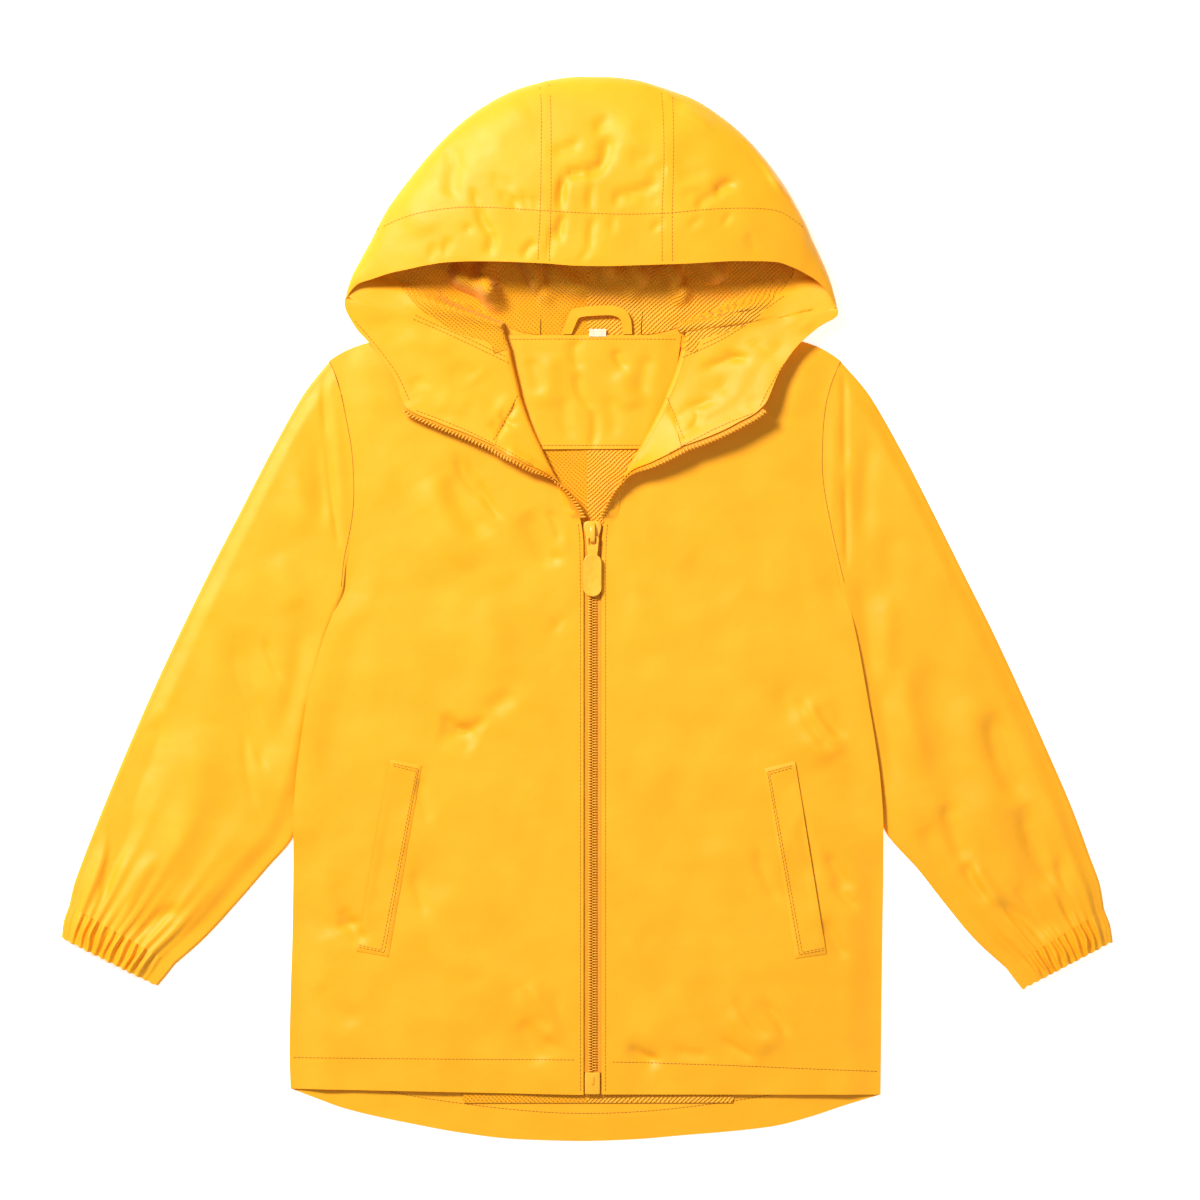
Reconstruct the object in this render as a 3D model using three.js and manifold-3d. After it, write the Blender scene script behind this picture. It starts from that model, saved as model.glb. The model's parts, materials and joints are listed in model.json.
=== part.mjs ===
// A child's hooded raincoat laid flat, front up, with its zip half open and its lapels turned out.
// Millimetres. +X is to the right seen from above, +Y points to the hood, +Z is up.
// The coat rests on the plane Z = 0. Left and right are those of the view from above.
import * as THREE from 'three';
import { mergeVertices } from 'three/addons/utils/BufferGeometryUtils.js';
import Module from 'manifold-3d';

// Cloth
const WALL = 1.1;
const LAYER = WALL + 0.87;
const REST = WALL / 2;

// Heights of the middle of the cloth
const LINING_Z = REST + WALL + 0.35;
const FRONT_Z = 5.0;
const ROLL_RADIUS = 1.5;
const ROLL_BACK = WALL / 2 + LAYER;

// Zip
const ZIP_X = 3.5;
const ZIP_OPENING = 13.8;
const ZIP_TOP = 44.1;
const ZIP_BOTTOM = -323.4;
const HALF_ZIP_WIDTH = 5.2;
const HALF_ZIP_WALL = 1.6;

// How far from a side edge the cloth lies level, and where it has come down to its full width
const EDGE_LEVEL = 11;
const EDGE_END = 25;

// A short table: one word for each column, one row for each section or fold
const table = (names, rows) => rows.map(
  (row) => Object.fromEntries(names.split(' ').map((name, i) => [name, row[i]])),
);

const clamp = (value, low, high) => Math.min(high, Math.max(low, value));
const mix = (a, b, t) => a + (b - a) * t;
const smooth = (t) => {
  const c = clamp(t, 0, 1);
  return c * c * (3 - 2 * c);
};

// Slopes of a curve through the values at whole steps that never overshoots them
function slopes(values) {
  const rises = values.slice(1).map((value, i) => value - values[i]);
  return values.map((_, i) => {
    if (i === 0) return rises[0];
    if (i === values.length - 1) return rises[i - 1];
    const product = rises[i - 1] * rises[i];
    return product > 0 ? (2 * product) / (rises[i - 1] + rises[i]) : 0;
  });
}

// A function of the row number that runs smoothly through every column of a table
function along(rows) {
  const names = Object.keys(rows[0]);
  const columns = names.map((name) => rows.map((row) => row[name]));
  const tangents = columns.map(slopes);
  return (position) => {
    const p = clamp(position, 0, rows.length - 1);
    const i = Math.min(rows.length - 2, Math.floor(p));
    const t = p - i;
    const values = columns.map((values, c) => {
      const [a, b] = [values[i], values[i + 1]];
      const [ta, tb] = [tangents[c][i], tangents[c][i + 1]];
      const rise = b - a;
      return a + t * (ta + t * (3 * rise - 2 * ta - tb + t * (ta + tb - 2 * rise)));
    });
    return Object.fromEntries(names.map((name, c) => [name, values[c]]));
  };
}

const steps = (from, to, count) => Array.from({ length: count + 1 }, (_, i) => mix(from, to, i / count));

function mesh(name, geometry, look) {
  const solid = new THREE.Mesh(geometry, new THREE.MeshStandardMaterial(look));
  solid.name = name;
  return solid;
}

const SHELL = { color: 0xffc632, roughness: 0.48, metalness: 0 };
const NET = { color: 0xf0a828, roughness: 0.75, metalness: 0 };
const TAPE = { color: 0xf2b32a, roughness: 0.6, metalness: 0 };
const PAINT = { color: 0xf7b92c, roughness: 0.35, metalness: 0.1 };
const LABEL = { color: 0xfff6d8, roughness: 0.7, metalness: 0 };

// A closed wall of cloth around a grid of middle points. keep says which cells exist, shift moves
// the wall along its normal, and loop closes the grid on itself in its first direction.
function cloth(point, us, vs, { shift = 0, wall = WALL, keep = () => true, loop = false, facing } = {}) {
  const nu = us.length;
  const nv = vs.length;
  const grid = us.map((u) => vs.map((v) => new THREE.Vector3(...point(u, v))));
  const cellsU = loop ? nu : nu - 1;
  const at = (i, j) => grid[loop ? (i + nu) % nu : i][j];
  const kept = (i, j) => i >= 0 && j >= 0 && i < cellsU && j < nv - 1 && keep(us[i], vs[j]);
  const wrap = (i) => (loop ? (i + nu) % nu : i);
  const used = (i, j) => [[-1, -1], [0, -1], [-1, 0], [0, 0]].some(
    ([di, dj]) => kept(wrap(i + di), j + dj),
  );
  const positions = [];
  const numbers = new Map();
  const normalAt = (i, j) => {
    if (facing) return facing(us[i], vs[j]);
    const normal = new THREE.Vector3();
    for (const [di, dj] of [[-1, -1], [0, -1], [-1, 0], [0, 0]]) {
      const [ci, cj] = [wrap(i + di), j + dj];
      if (!kept(ci, cj)) continue;
      const one = at(ci + 1, cj + 1).clone().sub(at(ci, cj));
      const two = at(ci, cj + 1).clone().sub(at(ci + 1, cj));
      normal.add(one.cross(two).normalize());
    }
    return normal.normalize();
  };
  for (let i = 0; i < nu; i += 1) {
    for (let j = 0; j < nv; j += 1) {
      if (!used(i, j)) continue;
      const normal = normalAt(i, j);
      const [upper, lower] = [shift + wall / 2, shift - wall / 2].map(
        (distance) => grid[i][j].clone().addScaledVector(normal, distance),
      );
      numbers.set(`${i},${j}`, positions.length / 3);
      positions.push(...upper.toArray(), ...lower.toArray());
    }
  }
  const top = (i, j) => numbers.get(`${wrap(i)},${j}`);
  const under = (i, j) => top(i, j) + 1;
  const faces = [];
  const quad = (a, b, c, d) => faces.push(a, b, c, a, c, d);
  for (let i = 0; i < cellsU; i += 1) {
    for (let j = 0; j < nv - 1; j += 1) {
      if (!kept(i, j)) continue;
      quad(top(i, j), top(i + 1, j), top(i + 1, j + 1), top(i, j + 1));
      quad(under(i, j), under(i, j + 1), under(i + 1, j + 1), under(i + 1, j));
      const rim = [
        [kept(i, j - 1), [i, j], [i + 1, j]],
        [kept(wrap(i + 1), j), [i + 1, j], [i + 1, j + 1]],
        [kept(i, j + 1), [i + 1, j + 1], [i, j + 1]],
        [kept(wrap(i - 1), j), [i, j + 1], [i, j]],
      ];
      for (const [neighbour, a, b] of rim) {
        if (!neighbour) quad(under(...a), under(...b), top(...b), top(...a));
      }
    }
  }
  return closed(positions, faces);
}

// The normal of a surface, from points one step away on each side within its limits
function normalOf(surface, lastU, lastV) {
  return (u, v) => {
    const ends = [
      [Math.min(u + 1, lastU), v], [Math.max(u - 1, 0), v],
      [u, Math.min(v + 1, lastV)], [u, Math.max(v - 1, 0)],
    ].map(([a, b]) => new THREE.Vector3(...surface(a, b)));
    return ends[0].sub(ends[1]).cross(ends[2].sub(ends[3])).normalize();
  };
}

// The same surface made of straight stretches from one whole row and line to the next
function between(surface) {
  return (u, v) => {
    const [i, j] = [Math.floor(u), Math.floor(v)];
    const [s, t] = [u - i, v - j];
    const ahead = (a, b) => surface(s > 0 ? i + a : i, t > 0 ? j + b : j);
    const [near, far] = [0, 1].map((b) => ahead(0, b).map((c, k) => mix(c, ahead(1, b)[k], s)));
    return near.map((c, k) => mix(c, far[k], t));
  };
}

// Turns the faces outward if their volume comes out negative
function closed(positions, faces) {
  const corner = (n) => new THREE.Vector3().fromArray(positions, 3 * n);
  let volume = 0;
  for (let k = 0; k < faces.length; k += 3) {
    volume += corner(faces[k]).dot(corner(faces[k + 1]).cross(corner(faces[k + 2])));
  }
  const geometry = new THREE.BufferGeometry();
  geometry.setAttribute('position', new THREE.Float32BufferAttribute(positions, 3));
  geometry.setIndex(volume < 0 ? faces.toReversed() : faces);
  geometry.computeVertexNormals();
  return geometry;
}

// Largest soft folds of the fronts and sleeves: a ridge is positive, a trough negative
const FOLDS = table('x1 y1 x2 y2 width height', [
  [-112, 92, -78, 28, 13, 0.9],
  [-98, 96, -70, 50, 9, -0.6],
  [-42, 70, -22, 30, 9, -0.7],
  [-104, -82, -76, -92, 10, -0.7],
  [-44, -262, -16, -302, 9, 0.9],
  [-46, -286, -30, -318, 8, -0.7],
  [150, -64, 176, -104, 14, 1.0],
  [134, -52, 158, -92, 9, -0.6],
  [102, -276, 132, -308, 11, 0.8],
  [26, -304, 52, -318, 9, -0.6],
  [-244, -12, -222, -112, 15, -0.7],
  [238, -38, 272, -140, 15, -0.7],
  [284, -70, 330, -170, 16, -0.8],
  [-296, -76, -334, -176, 16, -0.8],
  [-262, -80, -290, -190, 14, 0.8],
  [262, -60, 300, -182, 14, 0.8],
]);

function foldHeight(x, y) {
  let height = 0;
  for (const fold of FOLDS) {
    const [dx, dy] = [fold.x2 - fold.x1, fold.y2 - fold.y1];
    const place = ((x - fold.x1) * dx + (y - fold.y1) * dy) / (dx * dx + dy * dy);
    const t = clamp(place, 0, 1);
    const distance = Math.hypot(x - fold.x1 - t * dx, y - fold.y1 - t * dy);
    height += fold.height * Math.exp(-((distance / fold.width) ** 2));
  }
  return height;
}

// Rows of a front from hem to shoulder. side is the side seam and armhole, roll the line where the
// lapel turns, edge the zip edge, turn the angle in degrees through which the cloth has turned there.
const FRONT_COLUMNS = 'sideX sideY sideZ midZ rollX rollY turn edgeX edgeY edgeZ';
const LEFT_FRONT = table(FRONT_COLUMNS, [
  [-207.2, -334.6, 2.15, 4.3, -10.2, -338.8, 0, -3.4, -338.8, 5.0],
  [-207.9, -310, 2.15, 4.6, -10.2, -316, 0, -3.4, -316, 5.0],
  [-207.2, -270, 2.15, 5.0, -10.2, -275, 0, -3.4, -275, 5.0],
  [-205.8, -224, 2.15, 5.0, -10.2, -225, 0, -3.4, -225, 5.0],
  [-205.3, -185, 2.6, 5.0, -10.2, -180, 0, -3.4, -180, 5.0],
  [-205.1, -150, 6.35, 5.0, -10.2, -138, 0, -3.4, -138, 5.0],
  [-203.3, -118, 6.35, 5.0, -10.2, -100, 0, -3.4, -100, 5.0],
  [-200.1, -92.8, 6.35, 5.0, -10.2, -68, 0, -3.4, -68, 5.0],
  [-194.6, -57.8, 6.35, 5.0, -10.2, -36, 0, -3.4, -36, 5.0],
  [-184.1, -20.3, 6.0, 5.0, -10.2, -6, 0, -3.4, -6, 5.0],
  [-172.2, 14, 3.0, 5.0, -10.2, 21, 0, -3.4, 21, 5.0],
  [-170.1, 36, 4.0, 5.0, -10.2, 43.5, 0, -3.4, 43.5, 5.0],
  [-165.8, 58, 4.3, 5.0, -10.4, 60, 8, -5.0, 60, 5.4],
  [-163.2, 76, 4.3, 5.0, -12.2, 71, 45, -9.0, 70.5, 7.4],
  [-163.2, 92, 4.3, 5.0, -15.6, 83, 105, -15.8, 82.2, 9.6],
  [-164.6, 112, 4.3, 5.0, -22.5, 95.5, 150, -27.5, 93.5, 11.0],
  [-167.2, 128, 4.3, 5.0, -31.2, 113.1, 175, -41.5, 101.5, 12.0],
  [-169.9, 142, 4.0, 5.0, -39.5, 131.5, 180, -54, 108, 12.5],
  [-173.1, 156, 3.2, 5.0, -45.9, 149.5, 180, -64.5, 114, 13.0],
  [-177.2, 166.5, 2.6, 4.8, -54.5, 176, 180, -64.5, 114, 13.0],
  [-179.9, 173.6, 2.15, 2.15, -59, 197.4, 180, -64.5, 114, 13.0],
]);
const RIGHT_FRONT = table(FRONT_COLUMNS, [
  [204.4, -338.8, 2.15, 4.3, 17.2, -338.6, 0, 10.4, -338.6, 5.0],
  [204.7, -312, 2.15, 4.6, 17.2, -316, 0, 10.4, -316, 5.0],
  [205.1, -270, 2.15, 5.0, 17.2, -275, 0, 10.4, -275, 5.0],
  [205.7, -224, 2.15, 5.0, 17.2, -225, 0, 10.4, -225, 5.0],
  [206.3, -185, 2.6, 5.0, 17.2, -180, 0, 10.4, -180, 5.0],
  [206.3, -152, 6.35, 5.0, 17.2, -138, 0, 10.4, -138, 5.0],
  [204.3, -120, 6.35, 5.0, 17.2, -100, 0, 10.4, -100, 5.0],
  [200.7, -93, 6.35, 5.0, 17.2, -68, 0, 10.4, -68, 5.0],
  [194.7, -58, 6.35, 5.0, 17.2, -36, 0, 10.4, -36, 5.0],
  [187.2, -17, 6.0, 5.0, 17.2, -6, 0, 10.4, -6, 5.0],
  [179.2, 16.8, 3.0, 5.0, 17.2, 21, 0, 10.4, 21, 5.0],
  [174.8, 37, 4.0, 5.0, 17.2, 43.5, 0, 10.4, 43.5, 5.0],
  [169.7, 58, 4.3, 5.0, 17.4, 60, 8, 12.0, 60, 5.4],
  [165.8, 76, 4.3, 5.0, 18.8, 71, 45, 15.8, 70.5, 7.4],
  [163.9, 92, 4.3, 5.0, 22, 86, 105, 22.2, 85, 10.0],
  [163.9, 112, 4.3, 5.0, 27.5, 100, 150, 32, 96.5, 12.5],
  [165.0, 128, 4.3, 5.0, 36, 114.5, 175, 44, 102, 15.0],
  [166.6, 142, 4.0, 5.0, 45.2, 131.3, 180, 55, 107.5, 17.0],
  [169.6, 156, 3.2, 5.0, 53.4, 147.8, 180, 65.3, 113, 18.0],
  [173.3, 166.5, 2.6, 4.8, 63.4, 176, 180, 65.3, 113, 18.0],
  [176.4, 173.6, 2.15, 2.15, 66.5, 197.4, 180, 65.3, 113, 18.0],
]);
const ARMPIT_ROW = 10;
const LAPEL_FROM = 11;
const LAPEL_TO = 18;
const NECK_SETBACK = 6.4;
const SHOULDER_BOW = 11;
const ARMHOLE_GAP = 0.95;

// Where the armhole seam runs at a height y: an even bow between its two ends
function armholeX(section, y) {
  const share = (section.outY - y) / (section.outY - section.inY);
  return mix(section.outX, section.inX, share) + section.bow * 4 * share * (1 - share);
}

// The middle of a front. u runs 0 to 1 from the side to the turn, 1 to 2 round it and 2 to 3 to the zip.
function frontSurface(rows, hand, sleeveRows) {
  const row = along(rows);
  return (u, v) => {
    const r = row(v);
    const before = row(v - 0.2);
    const after = row(v + 0.2);
    const length = Math.hypot(after.rollX - before.rollX, after.rollY - before.rollY);
    const inward = [
      (hand * (after.rollY - before.rollY)) / length,
      (-hand * (after.rollX - before.rollX)) / length,
    ];
    const angle = THREE.MathUtils.degToRad(r.turn);
    const opening = smooth((v - LAPEL_FROM) / 2);
    const neck = smooth(v - LAPEL_TO);
    const back = mix(opening * (ROLL_BACK + ROLL_RADIUS), NECK_SETBACK, neck);
    const start = [r.rollX - inward[0] * back, r.rollY - inward[1] * back];
    if (u <= 1) {
      const sideX = v > ARMPIT_ROW ? armholeX(sleeveRows[0], r.sideY) + hand * ARMHOLE_GAP : r.sideX;
      const rise = SHOULDER_BOW * (1 - u) ** 0.7 * (1 - (1 - u) ** 6) * smooth(v - LAPEL_TO - 1);
      const x = mix(sideX, start[0], u);
      const y = mix(r.sideY, start[1], u) + rise;
      const reach = Math.hypot(start[0] - sideX, start[1] - r.sideY);
      const fromSide = smooth((u * reach - EDGE_LEVEL * 0.3) / (EDGE_END - EDGE_LEVEL * 0.3));
      const atZip = mix(r.midZ, FRONT_Z, smooth((u - 0.8) / 0.2));
      const level = mix(r.sideZ, atZip, fromSide);
      const calm = fromSide * smooth((1 - u) * 6) * smooth((LAPEL_TO - v) / 2);
      return [x, y, level + calm * foldHeight(x, y)];
    }
    const arc = Math.min(u - 1, 1) * angle;
    const round = ROLL_RADIUS * opening;
    const flat = (1 - opening) * 2.2 * Math.min(u - 1, 1);
    const out = round * Math.sin(arc) + flat;
    const turned = [
      start[0] + inward[0] * out,
      start[1] + inward[1] * out,
      FRONT_Z + round * (1 - Math.cos(arc)),
    ];
    if (u <= 2) return turned;
    const t = u - 2;
    return [
      mix(turned[0], r.edgeX, t),
      mix(turned[1], r.edgeY, t),
      mix(turned[2], r.edgeZ, opening < 1 ? t : t ** 1.6),
    ];
  };
}

// Columns across a front: closer together at the side edge, where the cloth is pressed to its seam
const FRONT_ACROSS = [0, 0.022, 0.062, 0.13, 0.26, 0.41, 0.56, 0.71, 0.86, 1];
const LAPEL_ACROSS = [4 / 3, 5 / 3, 2, 7 / 3, 8 / 3, 3];
const frontRows = LEFT_FRONT.map((_, i) => i);

function frontPanel(name, surface) {
  const keep = (u, v) => u < 1 || v < LAPEL_TO;
  return mesh(name, cloth(surface, [...FRONT_ACROSS, ...LAPEL_ACROSS], frontRows, { keep }), SHELL);
}

function frontFacing(name, surface, side) {
  const us = [1, ...LAPEL_ACROSS];
  const vs = steps(LAPEL_FROM + 2, LAPEL_TO, LAPEL_TO - LAPEL_FROM - 2);
  return mesh(name, cloth(surface, us, vs, { shift: side * LAYER }), SHELL);
}

// The back. Rows between hem and shoulder give its two sides and the height of its side edges.
const BACK_ROWS = table('leftX leftY rightX rightY edgeZ', [
  [-207.9, -310, 204.7, -312, 0.55],
  [-207.2, -270, 205.1, -270, 0.55],
  [-205.8, -224, 205.7, -224, 0.55],
  [-205.3, -185, 206.3, -185, 0.7],
  [-205.1, -150, 206.3, -152, 4.6],
  [-203.3, -118, 204.3, -120, 4.6],
  [-200.1, -92.8, 200.7, -93, 4.6],
  [-194.6, -57.8, 194.7, -58, 4.6],
  [-184.1, -20.3, 187.2, -17, 4.2],
  [-172.2, 14, 179.2, 16.8, 0.9],
  [-167, 50, 171.5, 50, 0.55],
  [-163.2, 86, 164.2, 86, 0.55],
  [-166.4, 120, 164.7, 120, 0.55],
  [-172.5, 149, 168.5, 149, 0.55],
]);
const BACK_HEM = table('x y', [
  [-207.2, -334.8], [-190, -341.3], [-172, -347.9], [-150, -353.6], [-122, -359.4], [-90, -365.3],
  [-49, -370.1], [-3.9, -371.4], [34, -370.1], [66, -367.4], [100, -364.6], [130, -361],
  [156, -354.4], [180, -346.4], [204.4, -339],
]);
const BACK_TOP = table('x y', [
  [-179.9, 173.6], [-163, 182.6], [-138, 189.4], [-100, 194.6], [-60, 198], [-50, 194.4],
  [-34, 192.1], [3.6, 191.9], [39, 192.1], [56, 194.4], [67.5, 198], [100, 194.8],
  [134, 190], [160, 182.6], [176.4, 173.6],
]);
const BACK_ACROSS = BACK_HEM.map((_, i) => i);
const BACK_DOWN = [-2, -1, ...BACK_ROWS.map((_, i) => i), BACK_ROWS.length, BACK_ROWS.length + 1];

const ARMPIT_BACK_ROW = 9;
const backRow = along(BACK_ROWS);
const backHem = along(BACK_HEM);
const backTop = along(BACK_TOP);

// Share of the width at each column, matched to the spacing of the hem table
function backShare(u) {
  const hem = backHem(u);
  return (hem.x - BACK_HEM[0].x) / (BACK_HEM.at(-1).x - BACK_HEM[0].x);
}

function backSurface(u, v) {
  const last = BACK_ROWS.length - 1;
  const row = backRow(v);
  const share = backShare(u);
  const armhole = v > ARMPIT_BACK_ROW;
  const leftX = armhole ? armholeX(LEFT_SLEEVE[0], row.leftY) + ARMHOLE_GAP : row.leftX;
  const rightX = armhole ? armholeX(RIGHT_SLEEVE[0], row.rightY) - ARMHOLE_GAP : row.rightX;
  let x = mix(leftX, rightX, share);
  let y = mix(row.leftY, row.rightY, share);
  if (v < 0) {
    const hem = backHem(u);
    x = mix(x, hem.x, -v / 2);
    y = mix(y, hem.y, -v / 2);
  }
  if (v > last) {
    const top = backTop(u);
    x = mix(x, top.x, (v - last) / 2);
    y = mix(y, top.y, (v - last) / 2);
  }
  const width = rightX - leftX;
  const inside = Math.min(share, 1 - share) * width;
  const down = smooth((inside - EDGE_LEVEL) / (EDGE_END - EDGE_LEVEL));
  return [x, y, mix(row.edgeZ, REST, down)];
}

function backPanel() {
  const us = [0, 0.65, 1.2, ...BACK_ACROSS.slice(2, -2), 12.8, 13.35, 14];
  return mesh('back', cloth(backSurface, us, BACK_DOWN), SHELL);
}

// A sleeve's sections from the armhole to the cuff: outer and inner edge, bow toward the body,
// height of its upper cloth and of its upper cloth at the edges
const SLEEVE_COLUMNS = 'outX outY inX inY bow height edge';
const LEFT_SLEEVE = table(SLEEVE_COLUMNS, [
  [-180.6, 173.4, -173.1, 14.6, 13.2, 4.3, 2.2],
  [-196.7, 153.2, -179.3, -3, 8, 4.7, 2.2],
  [-220.6, 111.4, -185.6, -24, 3, 4.8, 2.2],
  [-242.2, 69.4, -190, -50, 1, 4.8, 2.2],
  [-263.8, 27.4, -191.6, -80, 0, 4.8, 2.2],
  [-284.2, -14.4, -194, -112, 0, 4.8, 2.2],
  [-303.7, -56.4, -198, -138, 0, 4.8, 2.2],
  [-322, -98.4, -206.4, -159.6, 0, 4.8, 2.2],
  [-339.4, -140.4, -225.1, -181.8, 0, 4.9, 2.2],
  [-351.6, -171.6, -246.5, -206.5, 0, 5.1, 2.3],
  [-359.6, -194, -268.4, -230.2, 0, 5.4, 2.5],
  [-362.4, -206.5, -289, -248.4, 0, 5.6, 2.6],
]);
const RIGHT_SLEEVE = table(SLEEVE_COLUMNS, [
  [177.1, 173.4, 180.6, 17.4, -15.0, 4.3, 2.2],
  [194.6, 153.2, 186.4, -3, -9, 4.7, 2.2],
  [219.2, 111.4, 188.6, -24, -3, 4.8, 2.2],
  [240.8, 69.4, 190.4, -50, -1, 4.8, 2.2],
  [261.8, 27.4, 192, -80, 0, 4.8, 2.2],
  [282.8, -14.4, 195, -112, 0, 4.8, 2.2],
  [302.4, -56.4, 200, -136, 0, 4.8, 2.2],
  [321.3, -98.4, 209.6, -156.8, 0, 4.8, 2.2],
  [339.4, -140.4, 231.7, -182, 0, 4.9, 2.2],
  [350.9, -171.6, 250.5, -206, 0, 5.1, 2.3],
  [358.8, -194, 271, -230.6, 0, 5.4, 2.5],
  [361.4, -209.8, 293.2, -251, 0, 5.6, 2.6],
]);
const SLEEVE_TOP_POINTS = 18;
const SLEEVE_UNDER_POINTS = 10;

// Shares of the width of a flattened ring, upper cloth first, then back along the under cloth
function ringAround(topPoints, underPoints) {
  const upper = steps(0, 1, topPoints).map((t) => ({ share: t, upper: true }));
  const under = steps(1, 0, underPoints).slice(1, -1).map((t) => ({ share: t, upper: false }));
  return [...upper, ...under];
}

// How far in from its inner edge a sleeve stays thin, where it lies under the side of the body
const INNER_TUCK = 6;

// A share bent so that the ring's points crowd toward its two edges
const crowd = (t) => mix(t, (1 - Math.cos(Math.PI * t)) / 2, 0.75);

function flatRing(r, point, height) {
  const share = crowd(point.share);
  const [dx, dy] = [r.inX - r.outX, r.inY - r.outY];
  const length = Math.hypot(dx, dy);
  const bow = r.bow * 4 * share * (1 - share);
  const x = r.outX + dx * share - (dy / length) * bow;
  const y = r.outY + dy * share + (dx / length) * bow;
  const fromEdge = Math.min(share, 1 - share) * length;
  if (!point.upper) return [x, y, REST];
  const edge = mix(1.3, r.edge, smooth(fromEdge / 1.5));
  const tucked = r.bow ? 0 : INNER_TUCK;
  const level = share < 0.5 ? (fromEdge - 1.5) / 13 : (fromEdge - 1.5 - tucked) / 13;
  return [x, y, mix(edge, height(x, y, share), smooth(level))];
}

function sleeveSurface(rows) {
  const row = along(rows);
  const ring = ringAround(SLEEVE_TOP_POINTS, SLEEVE_UNDER_POINTS);
  const end = rows.length - 1;
  return (u, v) => {
    const r = row(v);
    const gathers = smooth((v - end + 2.6) / 2.6);
    const height = (x, y, share) => {
      const away = smooth(v / 2) * (1 - gathers);
      return r.height + away * foldHeight(x, y) + 0.8 * gathers * Math.sin(share * Math.PI * 13);
    };
    return flatRing(r, ring[u], height);
  };
}

function sleeve(name, rows) {
  const around = ringAround(SLEEVE_TOP_POINTS, SLEEVE_UNDER_POINTS).map((_, i) => i);
  const vs = rows.map((_, i) => i);
  return mesh(name, cloth(sleeveSurface(rows), around, vs, { loop: true }), SHELL);
}

// A cuff: a short flat tube whose upper cloth is gathered into even waves
const GATHERS = 13;
const POINTS_PER_GATHER = 4;
const LEFT_CUFF = table(SLEEVE_COLUMNS, [
  [-362.7, -207.0, -289.3, -248.9, 0, 6.0, 2.6],
  [-366.6, -218.6, -295.8, -257.2, 0, 6.4, 2.7],
  [-368.0, -229.0, -300.6, -262.9, 0, 5.9, 2.6],
]);
const RIGHT_CUFF = table(SLEEVE_COLUMNS, [
  [361.7, -210.3, 293.5, -251.5, 0, 6.0, 2.6],
  [365.8, -221.6, 299.6, -259.6, 0, 6.4, 2.7],
  [367.3, -231.8, 304.2, -265.2, 0, 5.9, 2.6],
]);

function cuff(name, rows) {
  const row = along(rows);
  const ring = ringAround(GATHERS * POINTS_PER_GATHER, SLEEVE_UNDER_POINTS);
  const surface = (u, v) => {
    const r = row(v);
    const wave = (x, y, share) => {
      const turns = (ring[u].share * GATHERS + 0.125) * 2 * Math.PI;
      return r.height + 0.9 * Math.sin(turns) + 0.2 * Math.sin(share * 17);
    };
    return flatRing(r, ring[u], wave);
  };
  return mesh(name, cloth(surface, ring.map((_, i) => i), [0, 1, 2], { loop: true }), SHELL);
}

// Lines over the hood, each from its opening edge over the crown and back under to the neck.
// edge is on the opening, fold on the outline, neck the end, inward the direction there in degrees,
// turn the angle of the roll there, near, mid and far the heights of the under cloth on the way.
const HOOD_COLUMNS = 'edgeX edgeY edgeZ foldX foldY foldZ neckX neckY inward turn tail'
  + ' near mid far facing';
const LEFT_HOOD = table(HOOD_COLUMNS, [
  [-29.3, 241.4, 38, -29.3, 369.2, 11, -33, 192.7, -90, 0, 6, 0.55, 0.55, 0.55, 38],
  [-46, 242.2, 37.5, -50, 363.0, 11, -37, 193.2, -87, 0, 6, 0.55, 0.55, 0.55, 38],
  [-62, 242.8, 36.5, -71.2, 352.2, 11, -41, 193.8, -80, 0, 6, 0.55, 0.55, 0.55, 38],
  [-80, 243, 34.8, -90.5, 337.8, 11, -45, 194.5, -70, 0, 6, 0.55, 0.55, 0.55, 38],
  [-97.7, 242.4, 32.3, -108.1, 320.2, 11, -48.5, 195.3, -58, 0, 6, 0.55, 0.55, 0.55, 38],
  [-113.5, 240.2, 29, -124.4, 300.5, 10.5, -51.5, 196.2, -46, 0, 6, 0.55, 0.55, 0.55, 38],
  [-128, 237.2, 25.3, -139.2, 280.4, 10, -54.3, 197.2, -35, 0, 6, 0.55, 0.55, 0.55, 40],
  [-134.4, 236, 23.6, -145, 270.2, 9.7, -55.6, 197.7, -30, 0, 6, 0.55, 0.6, 0.7, 42],
  [-140, 234.6, 21.8, -150.3, 259.4, 9.3, -56.9, 198.2, -24, 0, 6, 0.55, 0.7, 1.0, 43],
  [-150.5, 231.2, 18, -158.4, 244.5, 8.6, -59.4, 199.2, -14, 0, 6, 0.55, 3.5, 4.0, 47],
  [-161, 227.5, 14.5, -165.2, 231, 9, -58.6, 198.4, -6, 100, 1.5, 6.5, 12, 9.5, 52],
  [-169.2, 214.4, 11, -169.2, 214.4, 11, -58.2, 196.5, 0, 165, 0.6, 9.6, 9.6, 8.6, 62],
  [-162.5, 198.5, 10, -162.5, 198.5, 10, -57.2, 193, 4, 155, 0.5, 9.2, 8.5, 8, 70],
  [-147.5, 181.5, 10, -147.5, 181.5, 10, -55.7, 188, 7, 155, 0.5, 9.2, 8.5, 8, 78],
  [-134, 161, 10.5, -134, 161, 10.5, -53.8, 183, 10, 155, 0.5, 9.5, 8.6, 8, 74],
  [-126, 141.5, 11.5, -126, 141.5, 11.5, -52.4, 176, 13, 155, 0.5, 10.2, 8.8, 8, 72],
  [-106, 131.5, 12, -106, 131.5, 12, -50.4, 167.5, 15, 155, 0.5, 10.5, 8.9, 8, 57],
  [-84, 123.2, 12.5, -84, 123.2, 12.5, -48.2, 158.5, 17, 155, 0.5, 10.8, 9.0, 8, 40],
  [-65.3, 115.2, 13, -65.3, 115.2, 13, -46.4, 150.7, 20, 155, 0.5, 11.2, 9.2, 8, 31],
]);
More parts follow.
